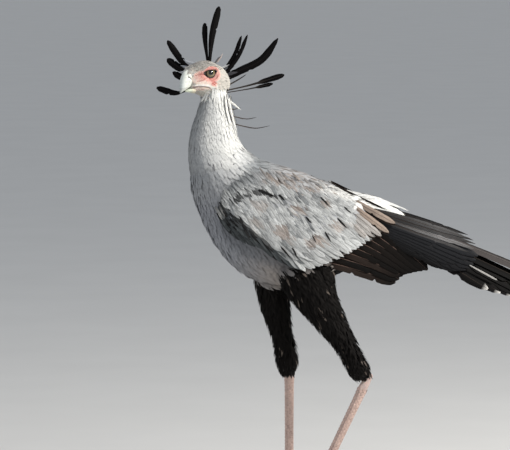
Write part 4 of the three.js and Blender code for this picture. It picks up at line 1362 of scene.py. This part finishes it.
def flight_feathers(side, name):
    rng = draws("flight", side)
    plumes = Plumes(60)
    for i, share in enumerate(np.linspace(0, 1, 8)):
        brown = blend(REMEX_BLACK, REMEX_BROWN, 1.0 if i in (0, 2) else 0.3 * rng.random())
        tones = [REMEX_BROWN * 0.6, brown, brown * 0.8, REMEX_BLACK]
        # The paler brown shafts are painted highlights along the shafts.
        fan_feather(
            plumes, SECONDARY, share, side, -2.8 + 0.9 * i, 15, tones, rng,
            shaft_colour=srgb(104, 86, 78), shaft=1.0, tilt=0.3,
        )
    tertials(plumes, side, rng)
    plumes.piece(f"secondary_feathers_{name}", FLIGHT_PLUME, "plumage_flight", [f"secondaries_{name}"])

    plumes = Plumes(40)
    for i, share in enumerate(np.linspace(0, 1, 10)):
        # The primaries are black; the slate grey blended into them is painted sheen.
        black_with_sheen = blend(REMEX_BLACK, PRIMARY_SHEEN_GREY, 0.2 + 0.8 * share)
        tones = [black_with_sheen, black_with_sheen * rng.uniform(0.8, 1.15), black_with_sheen, black_with_sheen * 0.85]
        fan_feather(
            plumes, PRIMARY, share, side, -4 + 0.8 * i, 11, tones, rng,
            shaft_colour=srgb(66, 65, 66), tilt=0.3,
        )
    # These strips are painted sheen: grey, lightest in the middle, along the primaries' upper edge.
    for i, tone in enumerate((0.35, 0.9, 0.3, 0.4)):
        tones = [LONG_EDGE_SHEEN_GREY * shade for shade in (0.15, 0.5 * tone, tone, 0.6 * tone)]
        fan_feather(
            plumes, LONG_EDGES, i / 3, side, 4 + 0.8 * i, 6.4, tones, rng,
            shaft=0.5, bow=1.0, profile=SOFT,
        )
    plumes.piece(f"primary_feathers_{name}", FLIGHT_PLUME, "plumage_flight", [f"primaries_{name}"])


# Tail. The side feathers hang like a roof under the long central pair.
TAIL_ROOT = np.array([165.0, 0.0, 712.0])
TAIL_BLACK = srgb(7, 6, 6)
TAIL_GREY = srgb(66, 62, 61)
TAIL_WHITE = srgb(214, 212, 208)


def tail_feathers():
    rng = draws("tail")
    side_tones = [TAIL_GREY * 0.5, *[TAIL_BLACK] * 22, TAIL_WHITE]
    for name, side in ACROSS.items():
        plumes = Plumes(24)
        for share in np.linspace(0, 1, 7):
            slope = math.radians(32 - 8.2 * share)
            tip = TAIL_ROOT + np.array([math.cos(slope), 0, -math.sin(slope)]) * (335 + 185 * share)
            tip[1] = side * (44 - 22 * share)
            root = TAIL_ROOT + np.array([18, side * (20 - 9 * share), -26 + 24 * share])
            middle = (root + tip) / 2 + np.array([0, side * 4.0, 5.0])
            facing = heading(0.15, side, 0.9 * share + 0.35)
            long_feather(
                plumes, [root, middle, tip], facing, 15.5, side_tones, rng,
                shaft_colour=srgb(60, 54, 50), notches=3,
            )
        streak = np.array([(405, side * 46, 592), (438, side * 46, 574), (471, side * 45, 556)], float)
        facing = heading(0.1, side, 0.4)
        long_feather(plumes, streak, facing, 2.2, [TAIL_WHITE * 0.5] * 2, rng, shaft=0)
        plumes.piece(f"tail_feathers_{name}", TAIL_PLUME, "plumage_tail", ["tail"])
    slope = math.radians(23.4)
    tones = [TAIL_GREY * 0.9, *[TAIL_GREY] * 9, TAIL_GREY * 0.9, *[TAIL_BLACK] * 2, *[TAIL_WHITE] * 2]
    for name, side in ACROSS.items():
        plumes = Plumes(4)
        root = TAIL_ROOT + np.array([0, side * 12, 15])
        tip = TAIL_ROOT + np.array([20 + math.cos(slope) * 680, side * 13, 15 - math.sin(slope) * 680])
        middle = (root + tip) / 2 + np.array([0, 0, 9.0])
        long_feather(
            plumes, [root, middle, tip], heading(0.0, side * 0.5, 1.0), 17, tones, rng,
            rows=90, notches=4, shaft=1.4, shaft_colour=srgb(90, 86, 84), cup=0.2,
        )
        plumes.piece(f"central_tail_{name}", TAIL_PLUME, "plumage_tail", [f"tail_central_{name}"])


RUMP_FEATHERS = 170
RUMP_HALF_WIDTH = 22


def rump_coverts():
    """White feathers over the root of the tail, and the dark edges that part them from the wings."""
    rng = draws("rump")
    plumes = Plumes()
    count = RUMP_FEATHERS
    share = rng.random(count)
    x = 108 + 106 * share
    y = rng.uniform(-RUMP_HALF_WIDTH, RUMP_HALF_WIDTH, count) * np.interp(x, [108, 165, 214], [1, 0.9, 0.5])
    z = np.interp(x, [110, 168, 216, 252, 264], [770, 759, 739, 711, 692]) - 0.008 * y**2
    root = np.stack([x, y, z - 3], 1)
    length = rng.uniform(40, 56, count)
    way = unit(np.stack([np.full(count, 0.9), -0.004 * y, np.full(count, -0.42)], 1))
    rise = np.array([0, 0, 4.0])
    tip = root + way * length[:, None] + rise
    bend = (root + tip) / 2 + rise
    facing = unit(np.stack([np.full(count, 0.4), y / 30, np.ones(count)], 1))
    colours = tinted(np.tile(WHITE_AND_RIM_LIGHT * 0.8, (count, 1)), rng, 0.05)
    places = 0.05 + 0.9 * np.stack([share, (y + RUMP_HALF_WIDTH) / (2 * RUMP_HALF_WIDTH)], 1)
    plumes.add(vanes(root, bend, tip, facing, np.full(count, 6.5), SOFT, 8, 5, cup=0.15), colours, places)
    plumes.piece("coat_rump", BODY_PLUME, "plumage_pale")

    plumes = Plumes(16)
    for side in SIDES.values():
        for i in range(3):
            line = along_line(BACK_LINE, np.linspace(0.2 * i, min(1.0, 0.55 + 0.25 * i), 5))
            y = side * np.interp(line[:, 0], [74, 110, 160, 211], [24, 36, 44, 36])
            path = np.stack([line[:, 0], y, line[:, 1] + 1.5], 1)
            long_feather(
                plumes, path, heading(0.3, side * 0.9, 0.6), 3.0,
                [REMEX_BLACK * 0.7, REMEX_BLACK * 0.5], rng, profile=LANCE, rows=26, shaft=0.5, notches=1,
            )
    plumes.piece("back_edges", BLACK_PLUME, "plumage_black")


# Head: crest, eyes, bill and lashes.
# Crest feathers: the way each one takes in the head's axes, its half width and its outline.
CREST = [
    ([(-19, -5, 26), (-35, -5, 86), (-64, -4, 152)], 8.6, SPATULA),
    ([(-17, -11, 26), (-24, -21, 78), (-35, -30, 116)], 6.8, SPATULA),
    ([(-18, -24, 7), (9, -68, 22), (32, -100, 82)], 8.4, SPATULA),
    ([(-19, -22, 2), (15, -71, 10), (38, -102, 38)], 9.5, SPATULA),
    ([(-20, -21, -5), (16, -70, -9), (34, -91, 6)], 8.8, STRAP),
    ([(-27, -17, -21), (16, -68, -41), (38, -88, -44), (69, -115, -27)], 8.2, TAPER),
    ([(-37, 4, -14), (-64, 34, 32), (-81, 51, 80)], 5.4, STRAP),
    ([(-38, 10, -18), (-68, 46, 32), (-87, 68, 82)], 5.0, STRAP),
    ([(-42, 3, -22), (-77, 33, -5), (-121, 67, 17), (-156, 94, 63)], 9.4, STRAP),
    ([(-40, 4, -18), (-62, 22, -8), (-92, 44, 4)], 7.0, LANCE_WIDE),
    ([(-37, 7, -43), (-67, 35, -25), (-83, 50, -14)], 1.8, WISP),
    ([(-31, 1, -50), (-89, 50, -41), (-155, 104, -25)], 7.0, PADDLE),
    ([(-28, 4, -54), (-82, 60, -48), (-122, 100, -41)], 4.8, PADDLE),
]
CREST_BLACK = srgb(8, 7, 8)
CREST_STEM = srgb(74, 68, 64)

# Small feathers at the crest's foot and on the nape: way, half width, colour, outline.
TUFTS = [
    ([(-34, 4, 22), (-42, 9, 32), (-48, 12, 42)], 1.6, srgb(190, 176, 170)),
    ([(-28, 2, 20), (-38, 5, 30), (-44, 8, 35)], 2.4, srgb(98, 98, 100)),
    ([(-34, 8, 6), (-46, 18, 10), (-54, 26, 14)], 2.4, srgb(196, 198, 200)),
    ([(-36, 8, -4), (-50, 22, 4), (-62, 34, 8)], 4.2, srgb(112, 114, 118)),
    ([(-37, 10, -12), (-54, 26, -8), (-68, 38, -6)], 4.0, srgb(70, 70, 74)),
    ([(-26, 12, -52), (-38, 30, -70), (-50, 44, -88), (-56, 50, -96)], 2.2, srgb(234, 233, 228)),
    ([(-26, 16, -52), (-34, 26, -68), (-40, 34, -86)], 2.6, srgb(232, 232, 228)),
    ([(-10, -28, 18), (12, -44, 26), (22, -56, 36)], 5.0, srgb(150, 154, 160)),
    ([(-8, -28, 8), (14, -46, 14), (28, -62, 22)], 5.4, srgb(128, 132, 138)),
    ([(-10, -26, 0), (14, -46, 2), (30, -64, 8)], 5.2, srgb(140, 144, 150)),
    ([(-20, -24, -8), (4, -46, -14), (16, -60, -14)], 4.4, srgb(96, 98, 104)),
]

# Thin loose plumes behind the neck, in the bird's millimetres.
NAPE_WISPS = [
    [(-176, 10, 950), (-150, 16, 942), (-128, 18, 938), (-104, 14, 942)],
    [(-168, 6, 930), (-140, 12, 922), (-106, 16, 916), (-72, 12, 922)],
    [(-176, -4, 965), (-160, 2, 962), (-142, 4, 966)],
]
# Strands that lie down the back of the neck, dark and white by turns.
NAPE_HACKLES = [
    [(-176, -24, 1000), (-168, -26, 966), (-156, -28, 926)],
    [(-180, -24, 996), (-174, -28, 962), (-163, -32, 920)],
    [(-170, -14, 996), (-160, -16, 958), (-146, -18, 914)],
    [(-174, -16, 990), (-165, -18, 952), (-151, -20, 904)],
    [(-172, 8, 992), (-160, 8, 956), (-146, 8, 908)],
    [(-176, 16, 996), (-166, 18, 960), (-152, 20, 912)],
]


CREST_FACING = heading(0.12, -1.0, 0.15)
CREST_SHAFT = srgb(30, 27, 27)
WISP_TONES = [srgb(130, 126, 122), srgb(70, 64, 62), srgb(52, 48, 46)]
HACKLE_GREY = srgb(72, 72, 74)


def crest_feathers():
    rng = draws("crest")
    plumes = Plumes(90)
    for way, half, outline in CREST:
        stemmed = outline in (PADDLE, WISP)
        tones = [CREST_BLACK] * 2
        if stemmed:
            tones = [CREST_STEM, CREST_STEM, CREST_STEM * 0.5, *tones]
        long_feather(
            plumes, in_head(way), CREST_FACING, half, tones, rng, profile=outline, rows=56, shaft=0.8,
            notches=0 if half < 2 else 1, cup=0.25, shaft_colour=CREST_STEM * 0.8 if stemmed else CREST_SHAFT,
        )
    for way, half, colour in TUFTS:
        long_feather(
            plumes, in_head(way), CREST_FACING, half, [colour * 0.9, colour, colour], rng,
            profile=LANCE, rows=24, shaft=0.3, cup=0.3, shaft_colour=colour * 0.8,
        )
    for way in NAPE_WISPS:
        long_feather(
            plumes, way, CREST_FACING, 1.5, WISP_TONES, rng,
            profile=WISP, rows=26, shaft=0.5, notches=1, cup=0.2,
        )
    for i, way in enumerate(NAPE_HACKLES):
        near, out = on_skin(way)
        colour, half = (NECK_WHITE, 3.0) if i % 2 else (HACKLE_GREY, 2.0)
        long_feather(
            plumes, near + out * (9.5 + 0.8 * i), out.mean(0), half, [colour] * 3, rng,
            profile=LANCE, rows=24, shaft=0.3, notches=1, cup=0.2, shaft_colour=colour * 0.7,
        )
    plumes.piece("crest", BLACK_PLUME, "plumage_black")


def grid_ball(centre, radius, axis, rows, columns):
    """A ball as a grid from the pole at the end of its axis to the other pole."""
    axis = unit(np.asarray(axis, float))
    beside = unit(np.cross(axis, [0.0, 0.0, 1.0]))
    above = np.cross(beside, axis)
    fall = np.linspace(1e-4, math.pi - 1e-4, rows)
    turn = np.linspace(0, 2 * math.pi, columns)
    ring = beside * np.cos(turn)[:, None] + above * np.sin(turn)[:, None]
    points = axis * np.cos(fall)[:, None, None] + ring[None] * np.sin(fall)[:, None, None]
    return centre + radius * points


def eye_material():
    """Pupil, iris and rim by the angle from the middle of the gaze, under a wet surface."""
    surface = Surface("eye_wet", 0.03, Coat_Weight=1.0, Coat_Roughness=0.02)
    turn, angle = surface.vane_place()
    streak_place = surface.node("CombineXYZ", {
        0: surface.math("MULTIPLY", turn, 90.0),
        1: surface.math("MULTIPLY", angle, 9.0),
    })
    streaks = surface.noise(1.0, 3.0, streak_place.outputs[0])
    iris = surface.mix(streaks, rgba(srgb(82, 72, 43)), rgba(srgb(142, 130, 88)))
    iris = surface.mix(surface.ramp(angle, 0.22, 0.30), iris, rgba(srgb(70, 56, 40)))
    rim = surface.mix(surface.ramp(angle, 0.29, 0.32), iris, rgba(srgb(20, 16, 15)))
    pupil = surface.ramp(angle, 0.145, 0.156)
    surface.colour(surface.mix(pupil, rgba(srgb(6, 6, 8)), rim))
    return surface.material


GAZE = np.array([0.29, 0.93, 0.21])


def make_eyes():
    material = eye_material()
    for name, side in SIDES.items():
        mirror = np.array([1, side, 1])
        plumes = Plumes()
        ball = grid_ball(in_head(EYE_SEAT * mirror), EYE_RADIUS, (GAZE * mirror) @ HEAD_AXES, 49, 65)
        plumes.add(ball[None], WHITE[None], np.array([[0.5, 0.5]]), patch=0.9)
        plumes.piece(f"eyeball_{name}", material, "eye", [f"eye_{name}"])


def lid_line(side, count):
    """Points along the upper and the lower lid's edge, on the eyeball."""
    share = 0.5 - 0.5 * np.cos(np.linspace(0, math.pi, count))
    forward = EYE_REAR[0] + (EYE_FRONT[0] - EYE_REAR[0]) * share
    lines = []
    for up in lid_heights(forward):
        out = eyeball_reach(forward, up) + 0.7
        lines.append(in_head(np.stack([forward, side * out, up], 1)))
    return lines


def tube(path, radii, sides=8):
    """A round tube along a path of points, as one grid with a doubled seam."""
    tangent = unit(np.gradient(path, axis=0))
    reference = np.array([0.31, 0.67, 0.67])
    across = unit(np.cross(tangent, reference))
    over = np.cross(across, tangent)
    turn = np.linspace(0, 2 * math.pi, sides + 1)
    ring = across[:, None] * np.cos(turn)[:, None] + over[:, None] * np.sin(turn)[:, None]
    return path[:, None] + ring * np.asarray(radii)[:, None, None]


LASHES = 17
LID_POINTS = 40
LID_BROWN = srgb(58, 46, 46)
LASH_BLACK = srgb(20, 18, 18)


def lids_and_lashes():
    rng = draws("lashes")
    lids, lashes = Plumes(4), Plumes(60)
    for side in SIDES.values():
        upper, lower = lid_line(side, LID_POINTS)
        for line, radius in ((upper, 1.15), (lower, 0.8)):
            lids.add_large(tube(line, np.full(LID_POINTS, radius)), LID_BROWN)
        for share in 0.12 + 0.76 * np.arange(LASHES) / (LASHES - 1):
            root = to_head(upper[int(share * (LID_POINTS - 1))]) + np.array([0, side * 0.4, 0.4])
            fan = (share - 0.45) * 12
            middle = root + np.array([fan * 0.45, side * 4.2, 1.2])
            tip = root + np.array([fan, side * 6.5, 4.8]) * rng.uniform(0.85, 1.1)
            path = along_rows(in_head([root, middle, tip]), 9)
            lashes.add_large(tube(path, np.linspace(0.34, 0.06, 9), 5), LASH_BLACK)
    lids.piece("lids", SKIN, "leg_skin")
    lashes.piece("lashes", CLAW_HORN, "claw_horn")


UPPER_BILL = [
    [44, 24, -23.5, 14.5],
    [53, 19.5, -25, 13.5],
    [60, 14.5, -27.5, 12],
    [66.5, 7.5, -30, 10],
    [71.5, -1, -32, 8],
    [75.2, -11, -33.5, 5.8],
    [77.3, -20, -34.6, 3.8],
    [78.2, -29, -35.4, 1.8],
]
LOWER_BILL = [
    [42, -24.7, -41, 12.5],
    [48, -25.6, -38.5, 11],
    [54, -27, -36.5, 9],
    [59, -28.8, -35, 6.5],
    [63, -30.4, -34, 3.5],
]
NOSTRIL = np.array([[58.0, 2.0], [51.8, -4.2]])
BILL_WHITE = srgb(236, 239, 236)
BILL_GREEN = srgb(214, 222, 206)


BILL_TIP_BLUE = srgb(176, 190, 200)
BILL_ROOT_TAN = srgb(232, 214, 190)
BILL_EDGE_GREY = srgb(150, 146, 140)
NOSTRIL_DARK = srgb(38, 30, 30)


def bill_half(name, rows, shown, node):
    """One half of the bill, with the nostril pressed into the upper one."""
    rings = capped(oval_rings(along_rows(rows, 60), BILL_SQUARENESS, 72))
    rings = np.concatenate([rings, rings[:, :1]], 1)
    place = to_head(rings.reshape(-1, 3))
    colours = np.tile(shown, (len(place), 1))
    colours = blend(colours, BILL_TIP_BLUE, 0.55 * smooth(62, 78, place[:, 0]))
    colours = blend(colours, BILL_ROOT_TAN, 0.6 * smooth(54, 46, place[:, 0]))
    if name == "upper":
        slit = groove(place[:, [0, 2]], NOSTRIL, 1.0, 1.7) * (np.abs(place[:, 1]) > 5)
        place[:, 1] -= np.sign(place[:, 1]) * 1.6 * slit
        colours = blend(colours, NOSTRIL_DARK, smooth(0.35, 0.75, slit))
        cere = smooth(57.5, 56.5, place[:, 0] + 0.12 * place[:, 2])
        place[:, 1] += np.sign(place[:, 1]) * 0.5 * cere * (np.abs(place[:, 1]) > 3)
        colours = blend(colours, BILL_EDGE_GREY, 0.35 * smooth(-21.5, -23.5, place[:, 2]))
    plumes = Plumes()
    shape = in_head(place).reshape(rings.shape)
    plumes.add(shape[None], colours.reshape(1, *rings.shape), np.array([[0.5, 0.5]]), patch=0.96)
    plumes.piece(f"bill_horn_{name}", BILL_HORN, "bill_horn", [node])


# Feet: scutes over the toes and shanks, and claws.
# Each toe's heading in degrees from straight ahead, its length and its thickness at the root.
TOES = {
    "middle": (0, 66, 9.0),
    "inner": (30, 47, 8.5),
    "outer": (-32, 49, 8.0),
    "hind": (172, 30, 7.5),
}
LEGS = {
    "left": {
        "side": 1,
        "ankle": np.array([158.0, -50, 312]),
        "lean": math.radians(25.3),
    },
    "right": {
        "side": -1,
        "ankle": np.array([-25.0, 50, 334]),
        "lean": 0.0,
    },
}
TARSUS_LENGTH = 310.0


def knuckle_of(leg):
    down = np.array([-math.sin(leg["lean"]), 0, -math.cos(leg["lean"])])
    return leg["ankle"] + down * TARSUS_LENGTH


def toes_of(leg):
    """For each toe: the floor under its root, its way over the floor, its length and its thickness."""
    x, y, _ = knuckle_of(leg)
    for angle, length, radius in TOES.values():
        turn = math.radians(angle * leg["side"])
        way = np.array([-math.cos(turn), -math.sin(turn), 0.0])
        yield np.array([x, y, 0]), way, length, radius


PLATE_ALONG, PLATE_ROUND = np.meshgrid(np.linspace(-1, 1, 5), np.linspace(-1, 1, 7), indexing="ij")


def scute(plumes, centre, axes, radius, turn, wide, tall, rise, tone, flat=1.0):
    """One horny plate: a low dome that bends round a limb. axes are its ways out, aside and along."""
    dome = rise * (1 - np.maximum(PLATE_ROUND**4, PLATE_ALONG**4)) - 0.3
    angle = turn + PLATE_ROUND * wide
    steps = (np.cos(angle) * (radius + dome), np.sin(angle) * (radius + dome) * flat, PLATE_ALONG * tall)
    plumes.add_large(centre + sum(way * step[..., None] for way, step in zip(axes, steps)), tone)


SHANK_SHARES = [0, 0.03, 0.14, 0.5, 0.88, 1]
SHANK_RADII = [12.0, 12.5, 10.5, 9.8, 10, 12.5]
SHANK_FLATNESS = 0.84
FRONT_PLATES = 34
SIDE_PLATES = 30
SIDE_COLUMNS = (1.32, 1.85, 2.38, -1.32, -1.85, -2.38, 2.9, -2.9)
TOE_PLATE_STEP = 6.2


def scutes(name, leg):
    """Broad plates down the front of the shank, small ones round it, and a row over each toe."""
    rng = draws("scutes", leg["side"])
    plumes = Plumes(420)
    ankle, knuckle = leg["ankle"], knuckle_of(leg)
    down = unit(knuckle - ankle)
    aside = np.array([0.0, 1.0, 0.0])
    front = unit(np.cross(aside, down))
    if front[0] > 0:
        front = -front

    def shank_plate(share, turn, wide, tall, rise, tone):
        centre = ankle + (knuckle - ankle) * share
        radius = np.interp(share, SHANK_SHARES, SHANK_RADII) + 0.35
        scute(plumes, centre, (front, aside, down), radius, turn, wide, tall, rise, tone, SHANK_FLATNESS)

    for i in range(FRONT_PLATES):
        tone = tinted(LEG_PINK[None], rng, 0.06)[0]
        share = 0.06 + 0.9 * (i + 0.5) / FRONT_PLATES
        shank_plate(share, 0.0, 0.95, TARSUS_LENGTH * 0.9 / FRONT_PLATES / 2 * 0.94, 1.1, tone)
    for column, turn in enumerate(SIDE_COLUMNS):
        for i in range(SIDE_PLATES):
            tone = tinted(LEG_PINK[None] * 0.94, rng, 0.07)[0]
            shank_plate(0.07 + 0.88 * (i + 0.5 * (column % 2)) / SIDE_PLATES, turn, 0.27, 4.2, 0.7, tone)
    for start, way, length, radius in toes_of(leg):
        beside = np.array([-way[1], way[0], 0.0])
        steps = (2, 0.4 * length, 0.75 * length, length)
        levels = (knuckle[2] - 4, radius + 2.8, radius - 1.2, radius - 1.2)
        pieces = max(4, int(length / TOE_PLATE_STEP))
        tall = (length - 7) / pieces / 2 * 0.92
        for i in range(pieces):
            reach = 8 + (length - 7) * (i + 0.5) / pieces
            slope = np.interp(reach + 1, steps, levels) - np.interp(reach - 1, steps, levels)
            along = unit(way + np.array([0, 0, slope / 2]))
            over = np.cross(along, beside)
            over = over if over[2] > 0 else -over
            centre = start + way * reach + np.array([0, 0, np.interp(reach, steps, levels)])
            thick = radius * (1 - 0.18 * (i / pieces)) + 0.2
            tone = tinted(LEG_PINK[None], rng, 0.06)[0]
            scute(plumes, centre, (over, beside, along), thick, 0.0, 0.95, tall, 1.0, tone)
    plumes.piece(f"scutes_{name}", SCUTES, "leg_skin")


def claws(name, leg):
    plumes = Plumes(4)
    for start, way, length, radius in toes_of(leg):
        # Each row is the reach along the toe, the height over the floor and the thickness.
        rows = along_rows([
            (length - 4, radius + 1.0, 4.6),
            (length + 4, radius + 1.5, 3.9),
            (length + 12, 0.6 * radius, 2.4),
            (length + 20, 1.4, 0.7),
        ], 18)
        path = start + way * rows[:, :1] + np.array([0, 0, 1.0]) * rows[:, 1:2]
        radii = np.minimum(np.maximum(rows[:, 2], 0.3), path[:, 2] - 0.1)
        plumes.add_large(tube(path, radii, 12), WHITE)
    plumes.piece(f"claws_{name}", CLAW_HORN, "claw_horn", [f"claw_{toe}_{name}" for toe in TOES])


# Studio.

HORIZON = (0.42, 0.424, 0.43)
ZENITH = (0.46, 0.5, 0.56)


def floor_and_light():
    size = 60.0
    floor = bpy.data.objects.new("floor", mesh_from(
        "floor",
        [(-size, -size, 0), (size, -size, 0), (size, size, 0), (-size, size, 0)],
        np.array([[0, 1, 2, 3]]),
    ))
    surface = Surface("pale_floor", 0.85)
    surface.colour(surface.mix(
        surface.noise(3.0), rgba(srgb(206, 205, 202)), rgba(srgb(214, 213, 210)),
    ))
    floor.data.materials.append(surface.material)
    bpy.context.scene.collection.objects.link(floor)

    world = bpy.data.worlds.new("studio")
    bpy.context.scene.world = world
    bpy.context.scene.view_settings.view_transform = "Standard"
    world.use_nodes = True
    nodes, links = world.node_tree.nodes, world.node_tree.links
    height = nodes.new("ShaderNodeSeparateXYZ")
    links.new(nodes.new("ShaderNodeTexCoord").outputs["Generated"], height.inputs[0])
    sky = nodes.new("ShaderNodeValToRGB")
    sky.color_ramp.elements[0].position = 0.12
    sky.color_ramp.elements[0].color = (*HORIZON, 1)
    sky.color_ramp.elements[1].color = (*ZENITH, 1)
    links.new(height.outputs["Z"], sky.inputs["Fac"])
    links.new(sky.outputs["Color"], nodes["Background"].inputs["Color"])

    def lamp(name, spot, aim, size, power, colour):
        light = bpy.data.lights.new(name, "AREA")
        light.size = size
        light.energy = power
        light.color = colour
        obj = bpy.data.objects.new(name, light)
        obj.location = spot
        obj.rotation_euler = (Vector(aim) - Vector(spot)).to_track_quat("-Z", "Y").to_euler()
        bpy.context.scene.collection.objects.link(obj)

    lamp("key", (3.2, -1.7, 3.4), (-0.1, 0, 0.7), 0.7, 285, (1.0, 0.96, 0.9))
    lamp("fill", (-3.0, -3.4, 1.6), (0, 0, 0.7), 3.0, 14, (1.0, 0.98, 0.95))


def photo_camera():
    """The photograph's view: far off, a little above the bird, framed on the picture's middle."""
    middle = np.array([
        (PHOTO_WIDTH / 2 - ZERO_COLUMN) * MM_PER_PIXEL,
        0.0,
        (FLOOR_ROW - PHOTO_HEIGHT / 2) * MM_PER_PIXEL / math.cos(ELEVATION),
    ])
    aim = Vector(placed(middle))
    towards = Vector((0, -math.cos(ELEVATION), math.sin(ELEVATION)))
    lens = bpy.data.cameras.new("photo")
    lens.sensor_width = SENSOR
    lens.lens = SENSOR * DISTANCE / (PHOTO_WIDTH * MM_PER_PIXEL * MM)
    camera = bpy.data.objects.new("photo", lens)
    camera.location = aim + towards * DISTANCE
    camera.rotation_euler = (-towards).to_track_quat("-Z", "Y").to_euler()
    bpy.context.scene.collection.objects.link(camera)
    bpy.context.scene.camera = camera


photo_camera()
floor_and_light()
dress_skin()
coat_head()
forehead()
coat_neck()
coat_trunk()
coat_mantle()
coat_thighs()
for side_name, side in ACROSS.items():
    coat_wing(side, side_name)
    fill_wing(side, side_name)
    wing_slits(side, side_name)
    flight_feathers(side, side_name)
tail_feathers()
rump_coverts()
crest_feathers()
make_eyes()
lids_and_lashes()
bill_half("upper", UPPER_BILL, BILL_WHITE, "bill_upper")
bill_half("lower", LOWER_BILL, BILL_GREEN, "bill_lower")
for side_name, leg in LEGS.items():
    scutes(side_name, leg)
    claws(side_name, leg)
